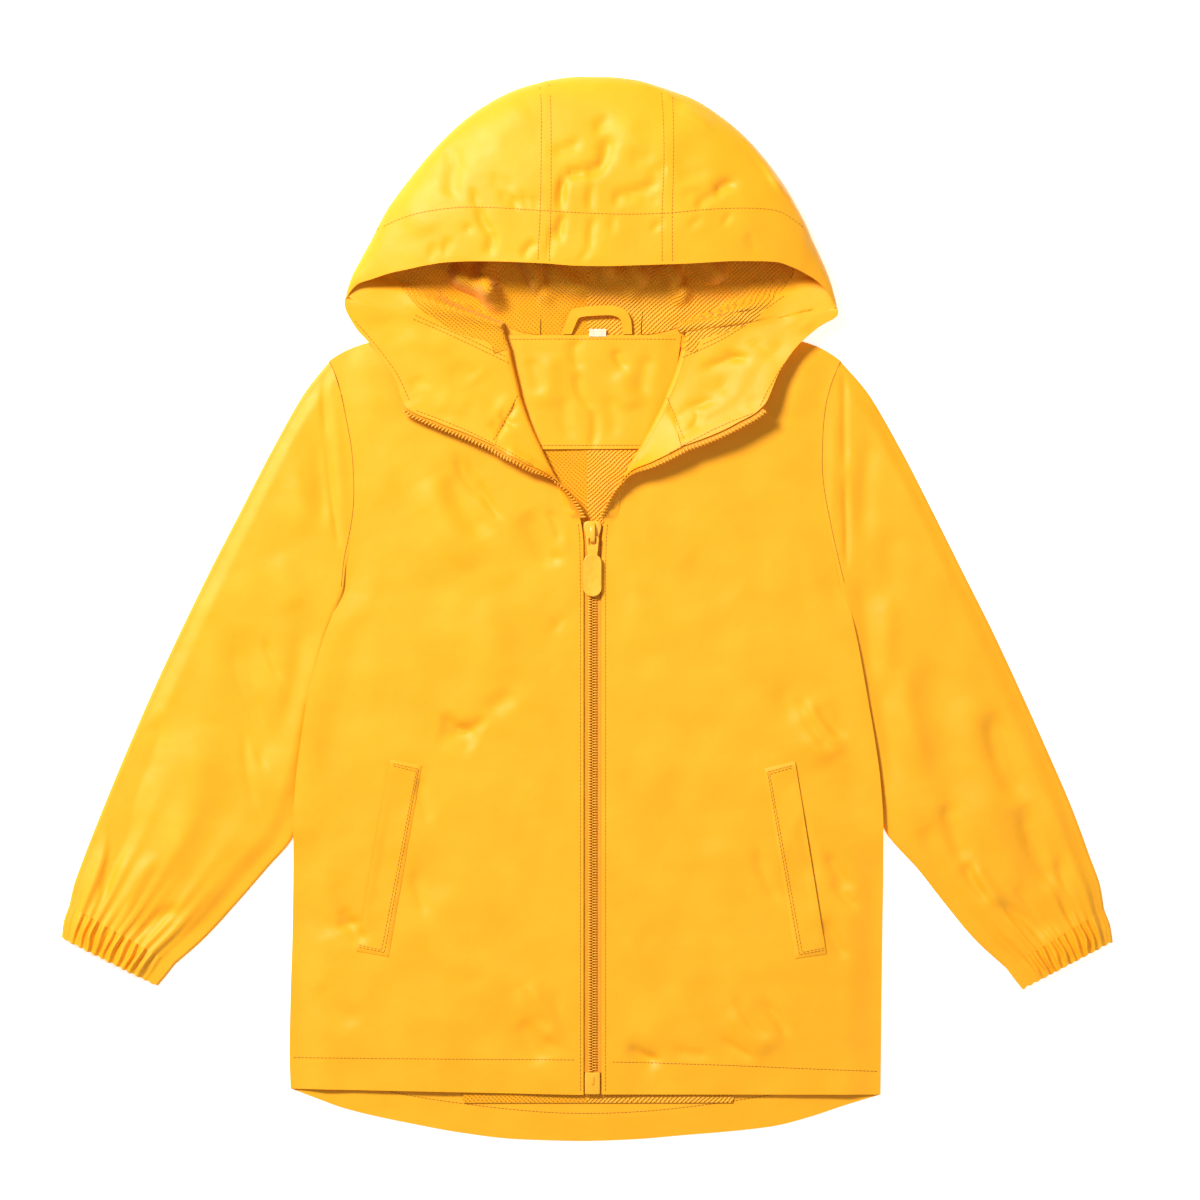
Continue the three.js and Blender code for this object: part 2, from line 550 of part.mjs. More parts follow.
const RIGHT_HOOD = table(HOOD_COLUMNS, [
  [56.2, 240.8, 38, 56.2, 363.2, 11, 38, 192.7, -90, 0, 6, 0.55, 0.55, 0.55, 38],
  [70, 241.3, 37.4, 74.2, 356.4, 11, 42.5, 193.2, -93, 0, 6, 0.55, 0.55, 0.55, 38],
  [86, 242.3, 36.3, 93.3, 344.2, 11, 46.8, 193.8, -100, 0, 6, 0.55, 0.55, 0.55, 38],
  [102, 243.1, 34.5, 110.2, 330, 11, 51, 194.5, -110, 0, 6, 0.55, 0.55, 0.55, 38],
  [117, 243.2, 32, 125.7, 312.2, 11, 54.8, 195.3, -122, 0, 6, 0.55, 0.55, 0.55, 38],
  [131, 242.8, 28.8, 138.5, 294.2, 10.5, 58.2, 196.2, -134, 0, 6, 0.55, 0.55, 0.55, 38],
  [142.5, 239.4, 25.4, 148.9, 275.8, 10, 61.3, 197.2, -145, 0, 6, 0.55, 0.55, 0.55, 40],
  [147.5, 237.4, 23.7, 153.2, 267.4, 9.7, 62.8, 197.7, -150, 0, 6, 0.55, 0.6, 0.7, 42],
  [152, 235, 21.8, 156.9, 258.4, 9.3, 64.2, 198.2, -156, 0, 6, 0.55, 0.7, 1.0, 43],
  [161, 229.4, 18, 164.9, 241, 8.6, 67, 199.2, -166, 0, 6, 0.55, 3.5, 4.0, 47],
  [168, 222, 14.8, 170.4, 226.5, 9, 66.2, 198.4, -174, 100, 1.5, 6.5, 12, 9.5, 52],
  [174.6, 207.2, 12, 174.6, 207.2, 12, 67.2, 196.5, 180, 165, 0.6, 10.6, 9.6, 8.6, 62],
  [161, 197.2, 12.5, 161, 197.2, 12.5, 67.4, 193, 176, 155, 0.5, 11, 9.0, 8, 66],
  [146.5, 184.5, 14, 146.5, 184.5, 14, 66.9, 188, 172, 155, 0.5, 12, 9.3, 8, 72],
  [133.5, 166, 16.5, 133.5, 166, 16.5, 65.4, 183, 168, 155, 0.5, 13.5, 9.8, 8, 64],
  [122, 141.5, 20, 122, 141.5, 20, 63.6, 176, 165, 155, 0.5, 15.5, 10.4, 8, 62],
  [103, 129.5, 20, 103, 129.5, 20, 61, 167, 162, 155, 0.5, 15.5, 10.4, 8, 50],
  [84.5, 121, 19, 84.5, 121, 19, 57.4, 157.5, 159, 155, 0.5, 14.8, 10.2, 8, 38],
  [66.3, 114.4, 18, 66.3, 114.4, 18, 53.9, 149.2, 156, 155, 0.5, 14.2, 10, 8, 28],
]);
const CENTRE_HOOD = table(HOOD_COLUMNS, [
  [-28.7, 241.4, 38, -28.7, 369.4, 11, -32.4, 192.6, -90, 0, 6, 0.55, 0.55, 0.55, 38],
  [-8, 239.8, 38.4, -8, 372, 11, -12, 192.4, -90, 0, 6, 0.55, 0.55, 0.55, 38],
  [13.5, 239.5, 38.6, 12, 372, 11, 8, 192.4, -90, 0, 6, 0.55, 0.55, 0.55, 38],
  [35, 240.1, 38.4, 34, 369.8, 11, 24, 192.4, -90, 0, 6, 0.55, 0.55, 0.55, 38],
  [55.6, 240.8, 38, 55.6, 363.5, 11, 37.4, 192.6, -90, 0, 6, 0.55, 0.55, 0.55, 38],
]);
const ZIP_END_LINE = 15;
const FACING_ROWS = 5;
const LINING_ROWS = 9;
const ROLL_ROWS = 4;
const HOOD_ROWS = FACING_ROWS + LINING_ROWS + ROLL_ROWS;
const UPPER_SAMPLES = 40;
const UNDER_SAMPLES = 60;
const CROWN_POWER = 2.2;
const PANEL_TRIM = 0.08;
const FOLD_REACH = 13;
const FOLD_SPREAD = 14;
const FOLD_CROWD = 3;

// Height of the under cloth at a share of its way from the outline to the neck
function underHeight(r, t) {
  const stops = [0, 0.25, 0.6, 1];
  const levels = [r.near, r.near, r.mid, r.far];
  const i = stops.findLastIndex((stop, k) => k < 3 && t >= stop);
  return mix(levels[i], levels[i + 1], smooth((t - stops[i]) / (stops[i + 1] - stops[i])));
}

// Sums of a list up to each of its entries, from zero
const running = (list) => list.reduce((sums, value) => [...sums, sums.at(-1) + value], [0]);

// One line over the hood as a chain of points, with its length up to each
function hoodLine(r) {
  const angle = THREE.MathUtils.degToRad(r.inward);
  const inward = [Math.cos(angle), Math.sin(angle)];
  const turn = THREE.MathUtils.degToRad(r.turn);
  const share = r.turn / 180;
  const arcReach = r.turn < 90 ? Math.sin(turn) * ROLL_RADIUS + r.tail * Math.cos(turn) : ROLL_RADIUS;
  const back = arcReach + ROLL_BACK * share;
  const start = [r.neckX - inward[0] * back, r.neckY - inward[1] * back];
  const points = [];
  const upper = Math.hypot(r.edgeX - r.foldX, r.edgeY - r.foldY);
  if (upper > 0.5) {
    for (const q of steps(1, 0, UPPER_SAMPLES).slice(0, -1).map((t) => t ** 1.6)) {
      const rise = (1 - (1 - q) ** CROWN_POWER) ** (1 / CROWN_POWER);
      points.push([
        mix(r.foldX, r.edgeX, q), mix(r.foldY, r.edgeY, q), mix(r.foldZ, r.edgeZ, rise),
      ]);
    }
  }
  const under = Math.hypot(start[0] - r.foldX, start[1] - r.foldY);
  const reach = Math.max(0.01, Math.min(FOLD_REACH, upper * 0.7));
  for (const t of steps(0, 1, UNDER_SAMPLES).map((s) => s ** 1.5)) {
    const away = clamp((t * under) / reach, 0, 1);
    const drop = upper > 0.5 ? Math.sqrt(1 - (1 - away) ** 2) : smooth(t / 0.25);
    points.push([
      mix(r.foldX, start[0], t), mix(r.foldY, start[1], t), mix(r.foldZ, underHeight(r, t), drop),
    ]);
  }
  const spans = points.slice(1).map((point, i) => Math.hypot(...point.map((c, k) => c - points[i][k])));
  const lengths = running(spans);
  const atFold = upper > 0.5 ? lengths[UPPER_SAMPLES] : Infinity;
  const crowded = spans.map((span, i) => {
    const away = (lengths[i] - atFold) / FOLD_SPREAD;
    return span * (1 + FOLD_CROWD * Math.exp(-(away ** 2)));
  });
  const roll = (s) => {
    const arcLength = ROLL_RADIUS * turn;
    const onArc = Math.min(s, arcLength) / ROLL_RADIUS;
    const beyond = Math.max(0, s - arcLength);
    const out = ROLL_RADIUS * Math.sin(onArc) + beyond * Math.cos(turn);
    const down = ROLL_RADIUS * (1 - Math.cos(onArc)) + beyond * Math.sin(turn);
    return [start[0] + inward[0] * out, start[1] + inward[1] * out, r.far - down];
  };
  return { points, lengths, paces: running(crowded), roll, rollLength: ROLL_RADIUS * turn + r.tail };
}

// The value at a place in one list that belongs to a value in another, both rising
function looked(value, from, to) {
  const found = from.findIndex((entry) => entry > value);
  const k = found < 1 ? (found ? from.length - 2 : 0) : found - 1;
  const t = clamp((value - from[k]) / (from[k + 1] - from[k]), 0, 1);
  return Array.isArray(to[k]) ? to[k].map((c, i) => mix(c, to[k + 1][i], t)) : mix(to[k], to[k + 1], t);
}

// The middle of a hood panel. u counts its lines, v its rows: facing, then lining, then the roll.
function hoodSurface(rows) {
  const row = along(rows);
  const lines = new Map();
  return (u, v) => {
    if (!lines.has(u)) lines.set(u, { ...hoodLine(row(u)), facing: row(u).facing });
    const line = lines.get(u);
    const total = line.paces.at(-1);
    const facing = looked(Math.min(line.facing, line.lengths.at(-1) - 8), line.lengths, line.paces);
    if (v <= FACING_ROWS) return looked((facing * v) / FACING_ROWS, line.paces, line.points);
    const lined = (v - FACING_ROWS) / LINING_ROWS;
    if (lined <= 1) return looked(mix(facing, total, lined), line.paces, line.points);
    return line.roll((line.rollLength * (v - FACING_ROWS - LINING_ROWS)) / ROLL_ROWS);
  };
}

function hoodPanel(name, surface, lines) {
  const us = steps(0, lines - 1, lines - 1);
  const facing = normalOf(surface, lines - 1, HOOD_ROWS);
  return mesh(name, cloth(surface, us, steps(0, HOOD_ROWS, HOOD_ROWS), { facing }), SHELL);
}

// Normals of a hood panel, straight from one whole row and line to the next
function straightNormal(surface, lines) {
  const normal = normalOf(surface, lines - 1, HOOD_ROWS);
  const straight = between((u, v) => normal(u, v).toArray());
  return (u, v) => new THREE.Vector3(...straight(u, v)).normalize();
}

function hoodFacing(name, surface, lines, side) {
  const us = steps(0, lines - 1, lines - 1);
  const keep = (u, v) => v < FACING_ROWS - 0.5 || u >= ZIP_END_LINE;
  const rows = lines > ZIP_END_LINE ? HOOD_ROWS : FACING_ROWS;
  const vs = steps(0, rows, rows);
  vs[FACING_ROWS] -= PANEL_TRIM;
  const options = { shift: side * LAYER, keep, facing: straightNormal(surface, lines) };
  return mesh(name, cloth(between(surface), us, vs, options), SHELL);
}

function hoodLining(name, surface, lines, side) {
  const last = Math.min(lines - 1, ZIP_END_LINE);
  const us = steps(0, last, last);
  if (last === ZIP_END_LINE) us[last] -= PANEL_TRIM;
  const vs = steps(FACING_ROWS, HOOD_ROWS, LINING_ROWS + ROLL_ROWS);
  vs[0] += PANEL_TRIM;
  const facing = straightNormal(surface, lines);
  return mesh(name, cloth(between(surface), us, vs, { shift: side * LAYER, facing }), NET);
}

// A flat piece between two outlines, given by rows from one end to the other
function strip(name, rows, look, { across = 4, wall = WALL, height = () => 0 } = {}) {
  const row = along(rows);
  const surface = (u, v) => {
    const r = row(v);
    const [x, y] = [mix(r.x1, r.x2, u), mix(r.y1, r.y2, u)];
    return [x, y, r.z + height(x, y)];
  };
  return mesh(name, cloth(surface, steps(0, 1, across), rows.map((_, i) => i), { wall }), look);
}

const NECK_FACING = table('x1 y1 x2 y2 z', [
  [-58, 191.4, 65, 191.4, LINING_Z],
  [-56, 176, 63, 176, LINING_Z],
  [-54, 158, 60, 158, LINING_Z],
  [-50, 138, 56, 138, LINING_Z],
  [-44, 112.6, 52, 113.2, LINING_Z],
]);
const LINING_BACK = table('x1 y1 x2 y2 z', [
  [-43, 112.0, 51, 112.6, LINING_Z],
  [-34, 88, 42, 88, LINING_Z],
  [-24, 64, 32, 64, LINING_Z],
  [-18, 46, 25, 46, LINING_Z],
]);
const LINING_HEM = table('x1 y1 x2 y2 z', [
  [-88, -318, 103, -318, LINING_Z],
  [-88, -332, 103, -332, LINING_Z],
  [-86, -344.6, 101, -344.4, LINING_Z],
]);
const LOOP = table('x1 y1 x2 y2 z', [
  [-17.4, 193.2, -11.6, 193.2, 4.3],
  [-14.6, 201, -9.2, 199, 5.2],
  [-9.6, 209.6, -6, 204.6, 6.2],
  [3, 211.6, 3.4, 206, 6.6],
  [16, 212, 15, 206.4, 6.4],
  [26.4, 208.6, 22.2, 204.4, 5.8],
  [30, 201, 24.8, 199.6, 5.0],
  [30.6, 193.2, 25, 193.2, 4.3],
]);

// Welts: four corners, from the slit edge to the stitched edge, top to bottom
const WELT_LIFT = WALL + 0.9;
const WELTS = {
  pocket_welt_left: { slit: [-137.6, -105.4, -160.7, -238.4], sewn: [-116.6, -109.6, -139.7, -241.9] },
  pocket_welt_right: { slit: [144.6, -106.8, 166.3, -240.5], sewn: [124.3, -111.7, 146, -243.3] },
};

// Height of a front over a point, between its level middle and its raised or pressed side
function frontHeight(rows) {
  const row = along(rows);
  return (x, y) => {
    let best = 0;
    for (const v of steps(0, 10, 100)) {
      if (row(v).sideY <= y) best = v;
    }
    const r = row(best);
    const from = Math.abs(r.sideX) - Math.abs(x);
    const fromSide = smooth((from - EDGE_LEVEL * 0.3) / (EDGE_END - EDGE_LEVEL * 0.3));
    return mix(r.sideZ, FRONT_Z, fromSide) + fromSide * foldHeight(x, y);
  };
}

function welt(name, { slit, sewn }, over) {
  const surface = (u, v) => {
    const x = mix(mix(slit[0], slit[2], v), mix(sewn[0], sewn[2], v), u);
    const y = mix(mix(slit[1], slit[3], v), mix(sewn[1], sewn[3], v), u);
    return [x, y, over(x, y) + WELT_LIFT];
  };
  return mesh(name, cloth(surface, [0, 0.33, 0.67, 1], steps(0, 1, 8)), SHELL);
}

// One open half of the zip, along the free edge of the lapel and of the hood's front edge
function zipHalf(name, front, hood) {
  const rims = [];
  for (const v of [12.6, 13, 13.5, 14, 15, 16, 17, 17.9]) rims.push([front(3, v), front(2.8, v)]);
  for (const u of [17.9, 17, 16, ZIP_END_LINE + 0.1]) rims.push([hood(u, 0), hood(u, 0.25)]);
  const surface = (u, v) => {
    const [edge, inner] = rims[v].map((p) => new THREE.Vector3(...p));
    const out = edge.clone().sub(inner).normalize();
    return edge.addScaledVector(out, 0.5 + u * HALF_ZIP_WIDTH).toArray();
  };
  const vs = rims.map((_, i) => i);
  return mesh(name, cloth(surface, [0, 0.5, 1], vs, { wall: HALF_ZIP_WALL }), TAPE);
}

const wasm = await Module();
wasm.setup();

// One closed solid from two that overlap
function joined(...geometries) {
  const solids = geometries.map((geometry) => {
    geometry.deleteAttribute('normal');
    geometry.deleteAttribute('uv');
    const merged = mergeVertices(geometry);
    return new wasm.Manifold(new wasm.Mesh({
      numProp: 3,
      vertProperties: merged.attributes.position.array,
      triVerts: Uint32Array.from(merged.index.array),
    }));
  });
  const { vertProperties, triVerts } = solids.reduce((one, two) => one.add(two)).getMesh();
  return closed([...vertProperties], [...triVerts]);
}

function extruded(points, depth, holes = []) {
  const shape = new THREE.Shape(points.map(([x, y]) => new THREE.Vector2(x, y)));
  shape.holes = holes.map((hole) => new THREE.Path(hole.map(([x, y]) => new THREE.Vector2(x, y))));
  return new THREE.ExtrudeGeometry(shape, { depth, bevelEnabled: false, curveSegments: 8 });
}

// The closed zip: two tapes under the fronts' edges and the raised coil between them
function zipChain() {
  const half = [[ZIP_OPENING / 2 + 3, 0], [ZIP_OPENING / 2 + 3, 0.9], [3.6, 0.9], [3.1, 1.9], [2, 2.5]];
  const outline = [...half, ...half.toReversed().map(([x, z]) => [-x, z])];
  const geometry = extruded(outline, ZIP_TOP - ZIP_BOTTOM);
  const solid = mesh('zip_chain', geometry, TAPE);
  solid.rotation.x = Math.PI / 2;
  solid.position.set(ZIP_X, ZIP_TOP, 2.95);
  return solid;
}

// The box that closes the bottom of the zip
function zipRetainer() {
  const outline = [[-5.4, 0], [5.4, 0], [5.4, 2.4], [4.6, 3.3], [-4.6, 3.3], [-5.4, 2.4]];
  const solid = mesh('zip_retainer', extruded(outline, 15.4), PAINT);
  solid.rotation.x = Math.PI / 2;
  solid.position.set(ZIP_X, ZIP_BOTTOM - 0.4, 3.0);
  return solid;
}

// Slider: a shield-shaped body with a bail on top that holds the pull
const SLIDER_BASE = 3.6;
const SLIDER_TOP = 8.0;
const SLIDER_HEAD = 62;
const SLIDER_FOOT = ZIP_TOP + 0.4;
const BAIL_HALF = 1.0;
const PULL_AXIS_Y = 50.6;
const PULL_WALL = 1.4;
const PULL_Z = SLIDER_TOP + 0.35 + PULL_WALL / 2;

// The slider's body is a shield standing over the chain, and the bail is an arch seen from the side
function slider() {
  const shield = [
    [-3.9, 0], [3.9, 0], [4.2, 6], [6.0, 11], [6.2, 15], [4.6, 17.5],
    [-4.6, 17.5], [-6.2, 15], [-6.0, 11], [-4.2, 6],
  ];
  const sunk = 1;
  const arch = [
    [2.2, -sunk], [3.6, -sunk], [3.6, 2.0], [12.2, 2.0], [12.6, -sunk], [14.6, -sunk],
    [14.2, 2.2], [12.6, 3.4], [3.0, 3.4], [2.2, 2.3],
  ];
  const body = extruded(shield, SLIDER_TOP - SLIDER_BASE);
  body.translate(ZIP_X, SLIDER_FOOT, SLIDER_BASE);
  const bail = extruded(arch, 2 * BAIL_HALF);
  const upright = new THREE.Matrix4().makeBasis(
    new THREE.Vector3(0, 1, 0), new THREE.Vector3(0, 0, 1), new THREE.Vector3(1, 0, 0),
  );
  bail.applyMatrix4(upright);
  bail.translate(ZIP_X - BAIL_HALF, SLIDER_FOOT, SLIDER_TOP);
  return mesh('zip_slider', joined(body, bail), PAINT);
}

// Pull: a neck whose eye hangs on the bail, and a long oval tab that lies over the closed zip
function pull() {
  const eye = 2.1;
  const oval = [];
  for (const t of steps(-0.5, 0.5, 10)) {
    const a = t * Math.PI;
    oval.push([6.3 * Math.sin(a), -36.3 - 5.2 * Math.cos(a)]);
  }
  const outline = [
    ...oval, [6.3, -18], [5.2, -13.6], [3.0, -12.4], [3.0, -8.2], [3.8, -6.6], [3.8, 0.7], [-3.8, 0.7],
    [-3.8, -6.6], [-3.0, -8.2], [-3.0, -12.4], [-5.2, -13.6], [-6.3, -18],
  ];
  const hole = [[-eye, -0.7], [eye, -0.7], [eye, -4.9], [-eye, -4.9]];
  const geometry = extruded(outline, PULL_WALL, [hole]);
  geometry.translate(0, 0, -PULL_WALL / 2);
  const solid = mesh('zip_pull', geometry, PAINT);
  solid.position.set(ZIP_X, PULL_AXIS_Y, PULL_Z);
  solid.rotation.x = THREE.MathUtils.degToRad(2);
  return solid;
}

function label() {
  const solid = mesh('label', new THREE.BoxGeometry(12, 5.4, 1.2), LABEL);
  solid.position.set(7.1, 193.6, LINING_Z + WALL / 2 + 1.5);
  return solid;
}

const leftFront = frontSurface(LEFT_FRONT, 1, LEFT_SLEEVE);
const rightFront = frontSurface(RIGHT_FRONT, -1, RIGHT_SLEEVE);
const leftHood = hoodSurface(LEFT_HOOD);
const rightHood = hoodSurface(RIGHT_HOOD);
const centreHood = hoodSurface(CENTRE_HOOD);
const SIDE_LINES = LEFT_HOOD.length;
const CENTRE_LINES = CENTRE_HOOD.length;

const coat = new THREE.Group();
coat.add(
  backPanel(),
  frontPanel('front_left', leftFront),
  frontPanel('front_right', rightFront),
  frontFacing('front_facing_left', leftFront, -1),
  frontFacing('front_facing_right', rightFront, 1),
  sleeve('sleeve_left', LEFT_SLEEVE),
  sleeve('sleeve_right', RIGHT_SLEEVE),
  cuff('cuff_left', LEFT_CUFF),
  cuff('cuff_right', RIGHT_CUFF),
  hoodPanel('hood_centre', centreHood, CENTRE_LINES),
  hoodPanel('hood_side_left', leftHood, SIDE_LINES),
  hoodPanel('hood_side_right', rightHood, SIDE_LINES),
  hoodFacing('hood_facing_centre', centreHood, CENTRE_LINES, -1),
  hoodFacing('hood_facing_left', leftHood, SIDE_LINES, 1),
  hoodFacing('hood_facing_right', rightHood, SIDE_LINES, -1),
  hoodLining('hood_lining_centre', centreHood, CENTRE_LINES, -1),
  hoodLining('hood_lining_left', leftHood, SIDE_LINES, 1),
  hoodLining('hood_lining_right', rightHood, SIDE_LINES, -1),
  strip('neck_facing', NECK_FACING, SHELL),
  strip('lining_back', LINING_BACK, NET),
  strip('lining_hem', LINING_HEM, NET, { across: 6 }),
  strip('hanger_loop', LOOP, SHELL, { across: 1 }),
  label(),
  welt('pocket_welt_left', WELTS.pocket_welt_left, frontHeight(LEFT_FRONT)),
  welt('pocket_welt_right', WELTS.pocket_welt_right, frontHeight(RIGHT_FRONT)),
  zipChain(),
  zipHalf('zip_half_left', leftFront, leftHood),
  zipHalf('zip_half_right', rightFront, rightHood),
  slider(),
  pull(),
  zipRetainer(),
);
export default coat;
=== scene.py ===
import json
import math
from types import SimpleNamespace

import bmesh
import bpy
import numpy as np
from mathutils import Matrix, Vector
from mathutils.bvhtree import BVHTree

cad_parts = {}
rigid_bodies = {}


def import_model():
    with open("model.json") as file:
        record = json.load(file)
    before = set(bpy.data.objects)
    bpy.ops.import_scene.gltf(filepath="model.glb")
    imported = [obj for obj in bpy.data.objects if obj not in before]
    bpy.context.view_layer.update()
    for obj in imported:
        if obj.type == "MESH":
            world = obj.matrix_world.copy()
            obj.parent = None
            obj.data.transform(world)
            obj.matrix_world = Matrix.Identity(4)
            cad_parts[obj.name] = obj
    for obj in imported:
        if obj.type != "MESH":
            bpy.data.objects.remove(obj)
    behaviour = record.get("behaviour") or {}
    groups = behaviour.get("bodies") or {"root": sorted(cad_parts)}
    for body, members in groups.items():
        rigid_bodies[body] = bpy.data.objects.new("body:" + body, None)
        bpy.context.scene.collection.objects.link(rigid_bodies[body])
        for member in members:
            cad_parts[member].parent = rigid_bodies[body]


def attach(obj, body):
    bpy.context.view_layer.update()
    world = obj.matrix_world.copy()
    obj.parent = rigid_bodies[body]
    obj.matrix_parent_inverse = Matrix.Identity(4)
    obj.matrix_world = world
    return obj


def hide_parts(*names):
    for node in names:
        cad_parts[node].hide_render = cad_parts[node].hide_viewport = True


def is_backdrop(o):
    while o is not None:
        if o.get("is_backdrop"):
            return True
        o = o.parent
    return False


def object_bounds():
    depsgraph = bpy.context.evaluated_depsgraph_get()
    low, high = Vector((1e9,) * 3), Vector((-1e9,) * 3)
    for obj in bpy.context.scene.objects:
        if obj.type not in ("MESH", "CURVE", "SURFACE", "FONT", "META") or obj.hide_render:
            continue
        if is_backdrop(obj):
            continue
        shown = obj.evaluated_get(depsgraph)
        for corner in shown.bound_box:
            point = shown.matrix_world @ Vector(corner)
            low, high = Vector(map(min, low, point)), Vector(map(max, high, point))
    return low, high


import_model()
cad_box = [[float(c) for c in corner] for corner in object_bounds()]

MM = 0.001
BODY = "garment"

# Cloth
CLOTH = 0.55
LAYER = 1.35
EDGE_LAYER = 0.7
REST = 0.55
FRONT_Z = 5.0
LINING_Z = 2.0
ROLL_RADIUS = 1.5
ROLL_BACK = 2.52
GRID = 2.6

# Zip
ZIP_X = 3.5
ZIP_TOP = 44.1
ZIP_BOTTOM = -323.4
TAPE_OUT = 9.6
TAPE_IN = 1.3
TAPE_Z = 3.5
TAPE_WALL = 0.6
TEETH_PITCH = 1.9
HALF_ZIP_WIDTH = 5.2

# How far from a side edge the cloth lies level, and where it has come down to its full width
EDGE_LEVEL = 11
EDGE_END = 25

# Camera
PIXEL = 0.7
VIEW_CENTRE = (8.75, 6.65)
VIEW_WIDTH = 1200 * PIXEL
CAMERA_HEIGHT = 6000
SENSOR = 36


def clamp(value, low, high):
    return np.minimum(high, np.maximum(low, value))


def mix(a, b, t):
    return a + (b - a) * t


def smooth(t):
    c = clamp(t, 0, 1)
    return c * c * (3 - 2 * c)


class Table:
    """A short table with named columns and a smooth curve down each of them that never overshoots."""

    def __init__(self, names, rows):
        self.names = names.split()
        self.rows = np.array(rows, float)
        rises = np.diff(self.rows, axis=0)
        before, after = rises[:-1], rises[1:]
        product = before * after
        total = np.where(product > 0, before + after, 1)
        inner = np.where(product > 0, 2 * product / total, 0)
        self.slopes = np.vstack([rises[:1], inner, rises[-1:]])

    def __len__(self):
        return len(self.rows)

    def __iter__(self):
        return (SimpleNamespace(**dict(zip(self.names, row))) for row in self.rows)

    def first(self):
        return next(iter(self))

    def at(self, position):
        p = clamp(np.asarray(position, float), 0, len(self.rows) - 1)
        i = np.minimum(len(self.rows) - 2, np.floor(p).astype(int))
        t = (p - i)[..., None]
        a, b = self.rows[i], self.rows[i + 1]
        ta, tb = self.slopes[i], self.slopes[i + 1]
        rise = b - a
        values = a + t * (ta + t * (3 * rise - 2 * ta - tb + t * (ta + tb - 2 * rise)))
        return SimpleNamespace(**{name: values[..., k] for k, name in enumerate(self.names)})


# Rows of a front from hem to shoulder: side seam and armhole, the line where the lapel turns, the
# zip edge, and turn, the angle in degrees through which the cloth has turned there.
FRONT_COLUMNS = "sideX sideY sideZ midZ rollX rollY turn edgeX edgeY edgeZ"
LEFT_FRONT = Table(FRONT_COLUMNS, [
    [-207.2, -334.6, 2.15, 4.3, -10.2, -338.8, 0, -3.4, -338.8, 5.0],
    [-207.9, -310, 2.15, 4.6, -10.2, -316, 0, -3.4, -316, 5.0],
    [-207.2, -270, 2.15, 5.0, -10.2, -275, 0, -3.4, -275, 5.0],
    [-205.8, -224, 2.15, 5.0, -10.2, -225, 0, -3.4, -225, 5.0],
    [-205.3, -185, 2.6, 5.0, -10.2, -180, 0, -3.4, -180, 5.0],
    [-205.1, -150, 6.35, 5.0, -10.2, -138, 0, -3.4, -138, 5.0],
    [-203.3, -118, 6.35, 5.0, -10.2, -100, 0, -3.4, -100, 5.0],
    [-200.1, -92.8, 6.35, 5.0, -10.2, -68, 0, -3.4, -68, 5.0],
    [-194.6, -57.8, 6.35, 5.0, -10.2, -36, 0, -3.4, -36, 5.0],
    [-184.1, -20.3, 6.0, 5.0, -10.2, -6, 0, -3.4, -6, 5.0],
    [-172.2, 14, 3.0, 5.0, -10.2, 21, 0, -3.4, 21, 5.0],
    [-170.1, 36, 4.0, 5.0, -10.2, 43.5, 0, -3.4, 43.5, 5.0],
    [-165.8, 58, 4.3, 5.0, -10.4, 60, 8, -5.0, 60, 5.4],
    [-163.2, 76, 4.3, 5.0, -12.2, 71, 45, -9.0, 70.5, 7.4],
    [-163.2, 92, 4.3, 5.0, -15.6, 83, 105, -15.8, 82.2, 9.6],
    [-164.6, 112, 4.3, 5.0, -22.5, 95.5, 150, -27.5, 93.5, 11.0],
    [-167.2, 128, 4.3, 5.0, -31.2, 113.1, 175, -41.5, 101.5, 12.0],
    [-169.9, 142, 4.0, 5.0, -39.5, 131.5, 180, -54, 108, 12.5],
    [-173.1, 156, 3.2, 5.0, -45.9, 149.5, 180, -64.5, 114, 13.0],
    [-177.2, 166.5, 2.6, 4.8, -54.5, 176, 180, -64.5, 114, 13.0],
    [-179.9, 173.6, 2.15, 2.15, -59, 197.4, 180, -64.5, 114, 13.0],
])

